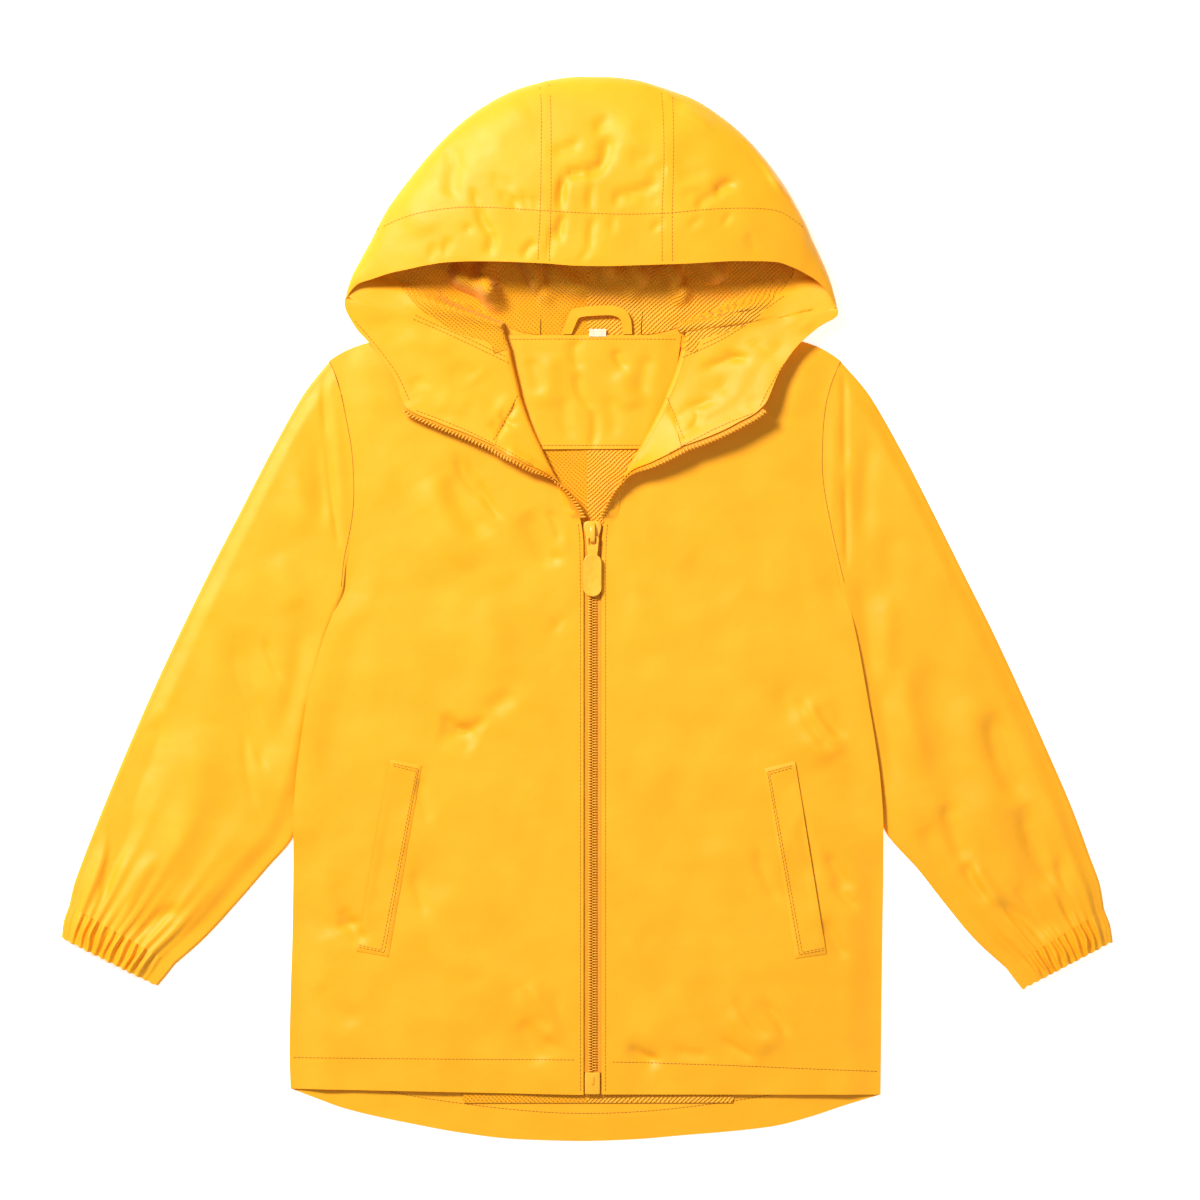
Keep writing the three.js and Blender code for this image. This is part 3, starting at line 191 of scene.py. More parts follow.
RIGHT_FRONT = Table(FRONT_COLUMNS, [
    [204.4, -338.8, 2.15, 4.3, 17.2, -338.6, 0, 10.4, -338.6, 5.0],
    [204.7, -312, 2.15, 4.6, 17.2, -316, 0, 10.4, -316, 5.0],
    [205.1, -270, 2.15, 5.0, 17.2, -275, 0, 10.4, -275, 5.0],
    [205.7, -224, 2.15, 5.0, 17.2, -225, 0, 10.4, -225, 5.0],
    [206.3, -185, 2.6, 5.0, 17.2, -180, 0, 10.4, -180, 5.0],
    [206.3, -152, 6.35, 5.0, 17.2, -138, 0, 10.4, -138, 5.0],
    [204.3, -120, 6.35, 5.0, 17.2, -100, 0, 10.4, -100, 5.0],
    [200.7, -93, 6.35, 5.0, 17.2, -68, 0, 10.4, -68, 5.0],
    [194.7, -58, 6.35, 5.0, 17.2, -36, 0, 10.4, -36, 5.0],
    [187.2, -17, 6.0, 5.0, 17.2, -6, 0, 10.4, -6, 5.0],
    [179.2, 16.8, 3.0, 5.0, 17.2, 21, 0, 10.4, 21, 5.0],
    [174.8, 37, 4.0, 5.0, 17.2, 43.5, 0, 10.4, 43.5, 5.0],
    [169.7, 58, 4.3, 5.0, 17.4, 60, 8, 12.0, 60, 5.4],
    [165.8, 76, 4.3, 5.0, 18.8, 71, 45, 15.8, 70.5, 7.4],
    [163.9, 92, 4.3, 5.0, 22, 86, 105, 22.2, 85, 10.0],
    [163.9, 112, 4.3, 5.0, 27.5, 100, 150, 32, 96.5, 12.5],
    [165.0, 128, 4.3, 5.0, 36, 114.5, 175, 44, 102, 15.0],
    [166.6, 142, 4.0, 5.0, 45.2, 131.3, 180, 55, 107.5, 17.0],
    [169.6, 156, 3.2, 5.0, 53.4, 147.8, 180, 65.3, 113, 18.0],
    [173.3, 166.5, 2.6, 4.8, 63.4, 176, 180, 65.3, 113, 18.0],
    [176.4, 173.6, 2.15, 2.15, 66.5, 197.4, 180, 65.3, 113, 18.0],
])

# The back: its two sides with the height of its edges, its hem and its top
BACK_ROWS = Table("leftX leftY rightX rightY edgeZ", [
    [-207.9, -310, 204.7, -312, 0.55],
    [-207.2, -270, 205.1, -270, 0.55],
    [-205.8, -224, 205.7, -224, 0.55],
    [-205.3, -185, 206.3, -185, 0.7],
    [-205.1, -150, 206.3, -152, 4.6],
    [-203.3, -118, 204.3, -120, 4.6],
    [-200.1, -92.8, 200.7, -93, 4.6],
    [-194.6, -57.8, 194.7, -58, 4.6],
    [-184.1, -20.3, 187.2, -17, 4.2],
    [-172.2, 14, 179.2, 16.8, 0.9],
    [-167, 50, 171.5, 50, 0.55],
    [-163.2, 86, 164.2, 86, 0.55],
    [-166.4, 120, 164.7, 120, 0.55],
    [-172.5, 149, 168.5, 149, 0.55],
])

BACK_HEM = Table("x y", [
    [-207.2, -334.8], [-190, -341.3], [-172, -347.9], [-150, -353.6], [-122, -359.4], [-90, -365.3],
    [-49, -370.1], [-3.9, -371.4], [34, -370.1], [66, -367.4], [100, -364.6], [130, -361],
    [156, -354.4], [180, -346.4], [204.4, -339],
])

BACK_TOP = Table("x y", [
    [-179.9, 173.6], [-163, 182.6], [-138, 189.4], [-100, 194.6], [-60, 198], [-50, 194.4],
    [-34, 192.1], [3.6, 191.9], [39, 192.1], [56, 194.4], [67.5, 198], [100, 194.8],
    [134, 190], [160, 182.6], [176.4, 173.6],
])

# A sleeve's sections from the armhole to the cuff: outer and inner edge, bow toward the body,
# height of its upper cloth and of its upper cloth at the edges
SLEEVE_COLUMNS = "outX outY inX inY bow height edge"
LEFT_SLEEVE = Table(SLEEVE_COLUMNS, [
    [-180.6, 173.4, -173.1, 14.6, 13.2, 4.3, 2.2],
    [-196.7, 153.2, -179.3, -3, 8, 4.7, 2.2],
    [-220.6, 111.4, -185.6, -24, 3, 4.8, 2.2],
    [-242.2, 69.4, -190, -50, 1, 4.8, 2.2],
    [-263.8, 27.4, -191.6, -80, 0, 4.8, 2.2],
    [-284.2, -14.4, -194, -112, 0, 4.8, 2.2],
    [-303.7, -56.4, -198, -138, 0, 4.8, 2.2],
    [-322, -98.4, -206.4, -159.6, 0, 4.8, 2.2],
    [-339.4, -140.4, -225.1, -181.8, 0, 4.9, 2.2],
    [-351.6, -171.6, -246.5, -206.5, 0, 5.1, 2.3],
    [-359.6, -194, -268.4, -230.2, 0, 5.4, 2.5],
    [-362.4, -206.5, -289, -248.4, 0, 5.6, 2.6],
])

RIGHT_SLEEVE = Table(SLEEVE_COLUMNS, [
    [177.1, 173.4, 180.6, 17.4, -15.0, 4.3, 2.2],
    [194.6, 153.2, 186.4, -3, -9, 4.7, 2.2],
    [219.2, 111.4, 188.6, -24, -3, 4.8, 2.2],
    [240.8, 69.4, 190.4, -50, -1, 4.8, 2.2],
    [261.8, 27.4, 192, -80, 0, 4.8, 2.2],
    [282.8, -14.4, 195, -112, 0, 4.8, 2.2],
    [302.4, -56.4, 200, -136, 0, 4.8, 2.2],
    [321.3, -98.4, 209.6, -156.8, 0, 4.8, 2.2],
    [339.4, -140.4, 231.7, -182, 0, 4.9, 2.2],
    [350.9, -171.6, 250.5, -206, 0, 5.1, 2.3],
    [358.8, -194, 271, -230.6, 0, 5.4, 2.5],
    [361.4, -209.8, 293.2, -251, 0, 5.6, 2.6],
])

LEFT_CUFF = Table(SLEEVE_COLUMNS, [
    [-362.7, -207.0, -289.3, -248.9, 0, 6.0, 2.6],
    [-366.6, -218.6, -295.8, -257.2, 0, 6.4, 2.7],
    [-368.0, -229.0, -300.6, -262.9, 0, 5.9, 2.6],
])

RIGHT_CUFF = Table(SLEEVE_COLUMNS, [
    [361.7, -210.3, 293.5, -251.5, 0, 6.0, 2.6],
    [365.8, -221.6, 299.6, -259.6, 0, 6.4, 2.7],
    [367.3, -231.8, 304.2, -265.2, 0, 5.9, 2.6],
])

# Lines over the hood, each from its opening edge over the crown and back under to the neck.
# edge is on the opening, fold on the outline, neck the end, inward the direction there in degrees,
# turn the angle of the roll there, near, mid and far the heights of the under cloth on the way.
HOOD_COLUMNS = "edgeX edgeY edgeZ foldX foldY foldZ neckX neckY inward turn tail near mid far facing"
LEFT_HOOD = Table(HOOD_COLUMNS, [
    [-29.3, 241.4, 38, -29.3, 369.2, 11, -33, 192.7, -90, 0, 6, 0.55, 0.55, 0.55, 38],
    [-46, 242.2, 37.5, -50, 363.0, 11, -37, 193.2, -87, 0, 6, 0.55, 0.55, 0.55, 38],
    [-62, 242.8, 36.5, -71.2, 352.2, 11, -41, 193.8, -80, 0, 6, 0.55, 0.55, 0.55, 38],
    [-80, 243, 34.8, -90.5, 337.8, 11, -45, 194.5, -70, 0, 6, 0.55, 0.55, 0.55, 38],
    [-97.7, 242.4, 32.3, -108.1, 320.2, 11, -48.5, 195.3, -58, 0, 6, 0.55, 0.55, 0.55, 38],
    [-113.5, 240.2, 29, -124.4, 300.5, 10.5, -51.5, 196.2, -46, 0, 6, 0.55, 0.55, 0.55, 38],
    [-128, 237.2, 25.3, -139.2, 280.4, 10, -54.3, 197.2, -35, 0, 6, 0.55, 0.55, 0.55, 40],
    [-134.4, 236, 23.6, -145, 270.2, 9.7, -55.6, 197.7, -30, 0, 6, 0.55, 0.6, 0.7, 42],
    [-140, 234.6, 21.8, -150.3, 259.4, 9.3, -56.9, 198.2, -24, 0, 6, 0.55, 0.7, 1.0, 43],
    [-150.5, 231.2, 18, -158.4, 244.5, 8.6, -59.4, 199.2, -14, 0, 6, 0.55, 3.5, 4.0, 47],
    [-161, 227.5, 14.5, -165.2, 231, 9, -58.6, 198.4, -6, 100, 1.5, 6.5, 12, 9.5, 52],
    [-169.2, 214.4, 11, -169.2, 214.4, 11, -58.2, 196.5, 0, 165, 0.6, 9.6, 9.6, 8.6, 62],
    [-162.5, 198.5, 10, -162.5, 198.5, 10, -57.2, 193, 4, 155, 0.5, 9.2, 8.5, 8, 70],
    [-147.5, 181.5, 10, -147.5, 181.5, 10, -55.7, 188, 7, 155, 0.5, 9.2, 8.5, 8, 78],
    [-134, 161, 10.5, -134, 161, 10.5, -53.8, 183, 10, 155, 0.5, 9.5, 8.6, 8, 74],
    [-126, 141.5, 11.5, -126, 141.5, 11.5, -52.4, 176, 13, 155, 0.5, 10.2, 8.8, 8, 72],
    [-106, 131.5, 12, -106, 131.5, 12, -50.4, 167.5, 15, 155, 0.5, 10.5, 8.9, 8, 57],
    [-84, 123.2, 12.5, -84, 123.2, 12.5, -48.2, 158.5, 17, 155, 0.5, 10.8, 9.0, 8, 40],
    [-65.3, 115.2, 13, -65.3, 115.2, 13, -46.4, 150.7, 20, 155, 0.5, 11.2, 9.2, 8, 31],
])

RIGHT_HOOD = Table(HOOD_COLUMNS, [
    [56.2, 240.8, 38, 56.2, 363.2, 11, 38, 192.7, -90, 0, 6, 0.55, 0.55, 0.55, 38],
    [70, 241.3, 37.4, 74.2, 356.4, 11, 42.5, 193.2, -93, 0, 6, 0.55, 0.55, 0.55, 38],
    [86, 242.3, 36.3, 93.3, 344.2, 11, 46.8, 193.8, -100, 0, 6, 0.55, 0.55, 0.55, 38],
    [102, 243.1, 34.5, 110.2, 330, 11, 51, 194.5, -110, 0, 6, 0.55, 0.55, 0.55, 38],
    [117, 243.2, 32, 125.7, 312.2, 11, 54.8, 195.3, -122, 0, 6, 0.55, 0.55, 0.55, 38],
    [131, 242.8, 28.8, 138.5, 294.2, 10.5, 58.2, 196.2, -134, 0, 6, 0.55, 0.55, 0.55, 38],
    [142.5, 239.4, 25.4, 148.9, 275.8, 10, 61.3, 197.2, -145, 0, 6, 0.55, 0.55, 0.55, 40],
    [147.5, 237.4, 23.7, 153.2, 267.4, 9.7, 62.8, 197.7, -150, 0, 6, 0.55, 0.6, 0.7, 42],
    [152, 235, 21.8, 156.9, 258.4, 9.3, 64.2, 198.2, -156, 0, 6, 0.55, 0.7, 1.0, 43],
    [161, 229.4, 18, 164.9, 241, 8.6, 67, 199.2, -166, 0, 6, 0.55, 3.5, 4.0, 47],
    [168, 222, 14.8, 170.4, 226.5, 9, 66.2, 198.4, -174, 100, 1.5, 6.5, 12, 9.5, 52],
    [174.6, 207.2, 12, 174.6, 207.2, 12, 67.2, 196.5, 180, 165, 0.6, 10.6, 9.6, 8.6, 62],
    [161, 197.2, 12.5, 161, 197.2, 12.5, 67.4, 193, 176, 155, 0.5, 11, 9.0, 8, 66],
    [146.5, 184.5, 14, 146.5, 184.5, 14, 66.9, 188, 172, 155, 0.5, 12, 9.3, 8, 72],
    [133.5, 166, 16.5, 133.5, 166, 16.5, 65.4, 183, 168, 155, 0.5, 13.5, 9.8, 8, 64],
    [122, 141.5, 20, 122, 141.5, 20, 63.6, 176, 165, 155, 0.5, 15.5, 10.4, 8, 62],
    [103, 129.5, 20, 103, 129.5, 20, 61, 167, 162, 155, 0.5, 15.5, 10.4, 8, 50],
    [84.5, 121, 19, 84.5, 121, 19, 57.4, 157.5, 159, 155, 0.5, 14.8, 10.2, 8, 38],
    [66.3, 114.4, 18, 66.3, 114.4, 18, 53.9, 149.2, 156, 155, 0.5, 14.2, 10, 8, 28],
])

CENTRE_HOOD = Table(HOOD_COLUMNS, [
    [-28.7, 241.4, 38, -28.7, 369.4, 11, -32.4, 192.6, -90, 0, 6, 0.55, 0.55, 0.55, 38],
    [-8, 239.8, 38.4, -8, 372, 11, -12, 192.4, -90, 0, 6, 0.55, 0.55, 0.55, 38],
    [13.5, 239.5, 38.6, 12, 372, 11, 8, 192.4, -90, 0, 6, 0.55, 0.55, 0.55, 38],
    [35, 240.1, 38.4, 34, 369.8, 11, 24, 192.4, -90, 0, 6, 0.55, 0.55, 0.55, 38],
    [55.6, 240.8, 38, 55.6, 363.5, 11, 37.4, 192.6, -90, 0, 6, 0.55, 0.55, 0.55, 38],
])

NECK_FACING = Table("x1 y1 x2 y2 z", [
    [-58, 191.4, 65, 191.4, LINING_Z],
    [-56, 176, 63, 176, LINING_Z],
    [-54, 158, 60, 158, LINING_Z],
    [-50, 138, 56, 138, LINING_Z],
    [-44, 112.6, 52, 113.2, LINING_Z],
])

LINING_BACK = Table("x1 y1 x2 y2 z", [
    [-43, 112.0, 51, 112.6, LINING_Z],
    [-34, 88, 42, 88, LINING_Z],
    [-24, 64, 32, 64, LINING_Z],
    [-18, 46, 25, 46, LINING_Z],
])

LINING_HEM = Table("x1 y1 x2 y2 z", [
    [-88, -318, 103, -318, LINING_Z],
    [-88, -332, 103, -332, LINING_Z],
    [-86, -344.6, 101, -344.4, LINING_Z],
])

LOOP = Table("x1 y1 x2 y2 z", [
    [-17.4, 193.2, -11.6, 193.2, 4.3],
    [-14.6, 201, -9.2, 199, 5.2],
    [-9.6, 209.6, -6, 204.6, 6.2],
    [3, 211.6, 3.4, 206, 6.6],
    [16, 212, 15, 206.4, 6.4],
    [26.4, 208.6, 22.2, 204.4, 5.8],
    [30, 201, 24.8, 199.6, 5.0],
    [30.6, 193.2, 25, 193.2, 4.3],
])

# Constants of the cut
ARMPIT_ROW = 10
LAPEL_FROM = 11
LAPEL_TO = 18
NECK_SETBACK = 6.4
SHOULDER_BOW = 11
ARMHOLE_GAP = 0.5
ARMPIT_BACK_ROW = 9
INNER_TUCK = 6
ZIP_END_LINE = 15
NET_END_LINE = 14.1
FACING_ROWS = 5
LINING_ROWS = 9
ROLL_ROWS = 4
CROWN_POWER = 2.2
FOLD_REACH = 13
FOLD_SPREAD = 14
FOLD_CROWD = 3

# Creases: from one point to another, half width, height, and how far it bows aside on the way.
# A ridge is positive, a trough negative.
CREASE_COLUMNS = "x1 y1 x2 y2 width height bow"
FRONT_CREASES = Table(CREASE_COLUMNS, [
    [-112, 92, -78, 28, 13, 0.9, 4],
    [-98, 96, -70, 50, 9, -0.7, 3],
    [-92, 108, -74, 76, 3.5, -0.6, 2],
    [-84, 104, -64, 66, 3.0, -0.5, 2],
    [-76, 92, -60, 62, 2.5, -0.4, 1],
    [-42, 70, -22, 30, 9, -0.7, 3],
    [-27, 70, -19, 46, 3, -0.8, -2],
    [-26, 36, -10, 35, 3.5, -0.7, 0],
    [-23, -16, -12, -4, 3.5, -0.6, -2],
    [-104, -82, -76, -92, 10, -0.7, 2],
    [-103, -74, -80, -88, 3.5, -0.6, 1],
    [-98, -88, -70, -76, 4, -0.5, 2],
    [-70, -70, -52, -58, 6, -0.5, 1],
    [-44, -262, -16, -302, 9, 0.9, 3],
    [-46, -286, -30, -318, 8, -0.7, 2],
    [-44, -265, -24, -295, 3.5, -0.8, 2],
    [-22, -268, -8, -306, 3.5, -0.7, 2],
    [-30, -300, -14, -312, 3, -0.5, 0],
    [-172, -208, -155, -234, 5, -0.8, 2],
    [-176, -222, -158, -218, 3, -0.5, 0],
    [-198, -190, -178, -230, 6, -0.6, 3],
    [-190, -262, -160, -290, 8, -0.5, 4],
    [-120, -180, -112, -215, 4, -0.5, 2],
    [-116, -116, -110, -150, 4, -0.4, 2],
    [150, -64, 176, -104, 14, 1.0, 4],
    [134, -52, 158, -92, 9, -0.6, 3],
    [148, -62, 172, -100, 4, -0.7, 3],
    [160, -66, 180, -90, 3.5, -0.5, 2],
    [102, -276, 132, -308, 11, 0.8, 3],
    [104, -272, 128, -300, 4, -0.7, 3],
    [122, -274, 140, -300, 3.5, -0.6, -2],
    [94, -300, 116, -314, 3, -0.5, 1],
    [26, -304, 52, -318, 9, -0.6, 2],
    [28, -306, 50, -316, 3.5, -0.7, 1],
    [60, -308, 84, -312, 4, -0.4, 1],
    [168, -170, 186, -196, 4, -0.7, 2],
    [172, -188, 190, -210, 3.5, -0.6, 2],
    [166, -216, 182, -244, 4, -0.6, 2],
    [150, -140, 160, -190, 4, -0.5, 2],
    [118, -166, 134, -206, 4, -0.5, 2],
    [70, 40, 106, 10, 12, -0.4, 6],
    [30, 30, 54, -30, 12, 0.4, 6],
    [-70, 10, -46, -50, 14, 0.4, 8],
    [60, -110, 90, -170, 14, -0.4, 8],
    [-96, -190, -80, -260, 14, 0.4, 8],
    [40, -220, 64, -270, 10, -0.4, 6],
])
LAPEL_CREASES = Table(CREASE_COLUMNS, [
    [-68, 131, -57, 125, 2.6, -0.9, 1],
    [-60, 140, -50, 128, 3.0, -0.8, 3],
    [-56, 112, -38, 102, 3.5, 0.8, 2],
    [-38, 126, -29, 107, 3.2, -0.9, -2],
    [-47, 147, -64, 117, 1.8, -0.7, 1],
    [-121, 162, -114, 155, 2.4, -0.8, 1],
    [-95, 171, -76, 164, 6, -0.6, 2],
    [-104, 150, -84, 140, 7, 0.5, 2],
    [-128, 196, -96, 182, 7, 0.5, 3],
    [-82, 160, -62, 140, 8, -0.6, -4],
    [-110, 138, -96, 132, 3, -0.4, 0],
    [-146, 204, -132, 184, 7, -0.5, -3],
    [80, 166, 113, 177, 3.0, -1.0, -2],
    [70.6, 140, 101, 164, 3.2, -1.0, 5],
    [98, 180, 111, 173, 3.0, -0.8, 0],
    [116, 189, 124, 182, 3.2, -0.7, 1],
    [73, 126, 78, 138, 2.6, -0.9, 1],
    [84, 148, 96, 152, 2.6, 0.7, 1],
    [54, 147, 67, 117, 1.8, -0.7, -1],
    [115, 142, 123, 145, 2.2, -0.7, 0],
    [112, 138, 119, 150, 2.2, -0.5, 0],
    [140, 206, 158, 198, 7, 0.6, 2],
    [98, 130, 110, 140, 5, -0.5, 2],
    [124, 176, 138, 186, 6, -0.6, 3],
])
CROWN_CREASES = Table(CREASE_COLUMNS, [
    [15.5, 341.5, 5.4, 332.0, 4.0, -0.8, 1],
    [-24.7, 318.4, -4.6, 325.4, 2.6, -0.9, 1],
    [15.5, 328, 13.0, 312, 5.0, -1.4, 1],
    [13.5, 312.3, -3, 304.3, 3.4, -1.9, -2],
    [-2, 304.5, -15, 302.3, 2.6, -1.7, 0],
    [-16.2, 301.3, -18.3, 279.2, 2.6, -1.8, 1],
    [3.4, 294.2, 2.4, 279.2, 2.6, -0.7, 1],
    [18.5, 283.2, 22.5, 289.2, 2.6, -1.0, 1],
    [21.5, 288.2, 50.6, 298.3, 3.2, -1.2, 2],
    [29.5, 312.3, 45.6, 315.3, 3.6, -0.5, 1],
    [41.6, 304.3, 55.7, 309.3, 2.6, -0.6, 1],
    [36, 285, 50, 286, 2.6, -0.6, 1],
    [103, 297.3, 87.8, 288.2, 3.4, -1.5, 2],
    [88, 288.2, 75.7, 280.2, 2.8, -1.0, 1],
    [66, 288, 82, 291, 2.4, -0.5, 0],
    [63, 300, 84, 305, 3, -0.4, 0],
    [103.9, 334.4, 136, 290.2, 3.0, 1.5, -3],
    [126, 304, 154, 264, 2.6, 1.5, -3],
    [35.6, 368, 62, 356, 2.6, 1.0, -2],
    [63.7, 350.5, 87.8, 335.4, 3, 0.6, -1],
    [-101, 315, -87, 315.3, 6, -0.8, -2],
    [-87, 315, -93, 284.2, 6.5, -1.0, 4],
    [-79, 292.2, -77, 281.2, 2.2, -0.7, 0],
    [-62, 290, -46, 283, 2.2, -0.7, 1],
    [-54, 284, -48, 280, 2.0, -0.6, 0],
    [-45, 288, -41, 281, 2.0, -0.6, 0],
    [-38, 286, -34, 280, 2.0, -0.6, 0],
    [-68, 300, -50, 294, 5, -0.4, 1],
    [-75, 280.2, -67, 262, 3.0, -0.9, 2],
    [-67, 264, -70, 247, 3.4, -0.9, -2],
    [-85, 262, -81, 268, 2.2, -0.5, 0],
    [-95, 258, -99, 247, 2.4, -0.6, 1],
    [-106, 254, -110, 244, 2.4, -0.5, 0],
    [-16.7, 275.2, -19, 256, 2.2, -1.2, 1],
    [-20, 268, -27, 244, 3.0, -0.6, 2],
    [4.4, 273, 2.4, 251, 2.2, -0.7, 1],
    [2, 252, -5, 242, 2.2, -0.4, 0],
    [-35.8, 256, -45, 245, 2.2, -0.9, 1],
    [18, 274, 17, 262, 2.2, -0.4, 0],
    [99.8, 275, 93.8, 268, 2.2, -0.5, 0],
    [51.6, 270, 44.6, 264, 2.0, -0.5, 0],
    [79, 272, 70, 266, 2.4, -0.4, 0],
    [112, 262, 118, 250, 3, -0.4, 1],
    [-128, 292, -108, 262, 9, 0.6, 4],
    [-40, 350, -70, 322, 14, 0.5, 4],
    [84, 330, 66, 300, 12, -0.6, 4],
    [30, 345, 36, 318, 10, 0.6, 3],
])
INSIDE_CREASES = Table(CREASE_COLUMNS, [
    [-96, 238, -62, 222, 6.5, 7.5, 4],
    [-104, 222, -70, 216, 7, -4.0, -3],
    [-70, 250, -58, 206, 6, 6.0, 6],
    [-52, 244, -43, 206, 4.5, -3.5, -5],
    [-44, 252, -24, 214, 6, 5.5, 4],
    [-38, 216, -30, 238, 3.5, -3.5, 2],
    [-30, 246, 2, 222, 7, 4.5, 5],
    [-12, 254, 18, 236, 6, 5.5, -4],
    [6, 240, 34, 214, 6, 4.0, -6],
    [28, 250, 46, 226, 5, 6.5, 3],
    [42, 238, 50, 208, 4.0, -4.0, 3],
    [50, 246, 66, 212, 6, 6.5, -4],
    [62, 216, 72, 240, 3.5, -3.5, -2],
    [72, 252, 92, 226, 6.5, 7.5, -4],
    [96, 232, 84, 206, 7, -4.0, 3],
    [-80, 270, -40, 262, 9, 5, 4],
    [60, 270, 104, 262, 9, 5, -4],
    [-30, 290, 40, 284, 12, 4, 6],
])
NECK_CREASES = Table(CREASE_COLUMNS, [
    [-8, 189, -6, 168, 3.5, -0.7, 2],
    [-7.5, 166, 4, 140, 3.0, -0.8, 3],
    [4, 140, 2.6, 114, 2.6, -0.8, -2],
    [20, 182, 26, 168, 3.0, -0.8, 1],
    [24, 168, 34, 140, 8, 0.6, 3],
    [-24, 180, -28, 140, 9, 0.6, 3],
    [-40, 176, -34, 150, 6, -0.5, -2],
    [44, 178, 38, 150, 5, -0.5, 2],
    [-16, 150, -12, 118, 5, -0.4, 2],
    [14, 150, 18, 120, 5, -0.4, -2],
])
SLEEVE_CREASES = Table(CREASE_COLUMNS, [
    [-297, -72, -334, -178, 12, -1.1, 4],
    [-300, -80, -338, -196, 4.5, -0.9, 4],
    [-262, -80, -290, -190, 14, 0.9, 4],
    [-244, -12, -222, -112, 15, -0.8, 4],
    [-284, -208, -315, -232, 5, -1.0, 3],
    [-262, -222, -296, -243, 4.5, -1.0, 3],
    [-322, -150, -340, -206, 4, -0.8, 2],
    [-300, -170, -328, -224, 5, 0.8, 3],
    [-246, -30, -236, -66, 3, -0.5, 2],
    [-238, -40, -228, -82, 3, -0.5, 2],
    [-232, -62, -226, -112, 3, -0.5, 2],
    [-240, -84, -232, -140, 3, -0.4, 2],
    [-226, -20, -214, -50, 3, -0.4, 1],
    [-214, 40, -200, 0, 10, 0.5, 3],
    [-190, 120, -186, 60, 6, -0.5, -2],
    [-208, 110, -200, 50, 8, 0.4, -3],
    [281, -70, 304, -136, 9, -1.3, 3],
    [304, -136, 328, -196, 7, -1.2, 3],
    [330, -170, 340, -222, 4.5, -0.9, 2],
    [251, -134, 265, -178, 6, -1.1, 2],
    [264, -176, 282, -204, 5, -1.0, 2],
    [282, -204, 322, -230, 4.5, -1.0, -2],
    [269, -176, 296, -214, 5, 0.9, 2],
    [238, -38, 272, -140, 15, -0.8, 4],
    [262, -60, 300, -182, 14, 0.9, 4],
    [214, 60, 206, 0, 10, -0.6, -3],
    [198, 120, 194, 50, 7, -0.7, 2],
    [210, 20, 204, -60, 8, 0.5, -2],
    [300, -190, 330, -226, 4.5, -0.8, 3],
    [236, -150, 250, -196, 7, -0.7, 2],
    [192, 24, 206, -70, 8, -0.8, 2],
    [206, -50, 216, -130, 7, -0.6, 2],
    [222, -40, 236, -120, 8, 0.6, 2],
    [-200, -10, -214, -90, 7, -0.5, -2],
])
# The fold that stands beside each armhole
SLEEVE_FOLDS = Table(CREASE_COLUMNS, [
    [-184.5, 168.4, -182, 120, 2.4, -1.3, 1],
    [-182, 120, -173.8, 44, 2.4, -1.2, 1],
    [-178, 150, -171, 70, 4.0, 0.8, 0],
    [179.4, 172, 180.2, 95, 2.4, -1.5, 0],
    [180.2, 95, 181.5, 30, 2.4, -1.4, 0],
    [172, 140, 172, 60, 4.0, 0.7, 0],
])
BACK_CREASES = Table(CREASE_COLUMNS, [
    [-60, -350, 60, -352, 6, 0.4, 4],
    [-160, -350, -120, -352, 4, -0.3, 0],
    [130, -350, 170, -346, 4, -0.3, 0],
])


def crease_height(creases, x, y, gain=1.0):
    height = np.zeros(np.shape(x))
    for c in creases:
        dx, dy = c.x2 - c.x1, c.y2 - c.y1
        length = math.hypot(dx, dy)
        place = ((x - c.x1) * dx + (y - c.y1) * dy) / length ** 2
        aside = ((x - c.x1) * dy - (y - c.y1) * dx) / length
        t = clamp(place, 0, 1)
        across = aside - c.bow * 4 * t * (1 - t)
        beyond = (place - t) * length
        end = smooth(0.25 + 3 * np.minimum(t, 1 - t))
        height = height + c.height * end * np.exp(-(across ** 2 + beyond ** 2) / c.width ** 2)
    return gain * height


# Long soft waves that leave no large stretch of cloth quite even: length, direction, height, start
WAVES = Table("length direction height start", [
    [83, 24, 0.16, 0.4],
    [61, 101, 0.13, 2.1],
    [47, 63, 0.10, 4.0],
    [35, 152, 0.07, 1.2],
    [29, 12, 0.05, 3.3],
    [21, 84, 0.03, 5.1],
])


def waves(x, y):
    height = np.zeros(np.shape(x))
    for w in WAVES:
        a = math.radians(w.direction)
        bent = x * math.cos(a) + y * math.sin(a) + 9 * np.sin((x * math.sin(a) - y * math.cos(a)) / 40)
        height = height + w.height * np.sin(2 * math.pi * bent / w.length + w.start)
    return height


def spaced(surface_length, pitch=GRID):
    """Positions 0, 1, 2 ... of a table's rows, cut finer so that steps are about one pitch long."""
    stops = [0.0]
    for i, length in enumerate(surface_length):
        count = max(1, math.ceil(length / pitch))
        stops += [i + (k + 1) / count for k in range(count)]
    return np.array(stops)


def normals(points):
    du = np.gradient(points, axis=0)
    dv = np.gradient(points, axis=1)
    n = np.cross(du, dv)
    return n / np.maximum(np.linalg.norm(n, axis=2, keepdims=True), 1e-9)


def lifted(points, height, lowest):
    """Cloth points raised by a height where the cloth lies level, and nowhere below lowest."""
    level = np.abs(normals(points)[..., 2])
    out = points.copy()
    raised = out[..., 2] + height * level
    out[..., 2] = np.where(height < 0, np.maximum(raised, np.minimum(lowest, out[..., 2])), raised)
    return out


# How far each cut runs on past its sewn edge, under or over its neighbour
SEWN_ON = 0.6


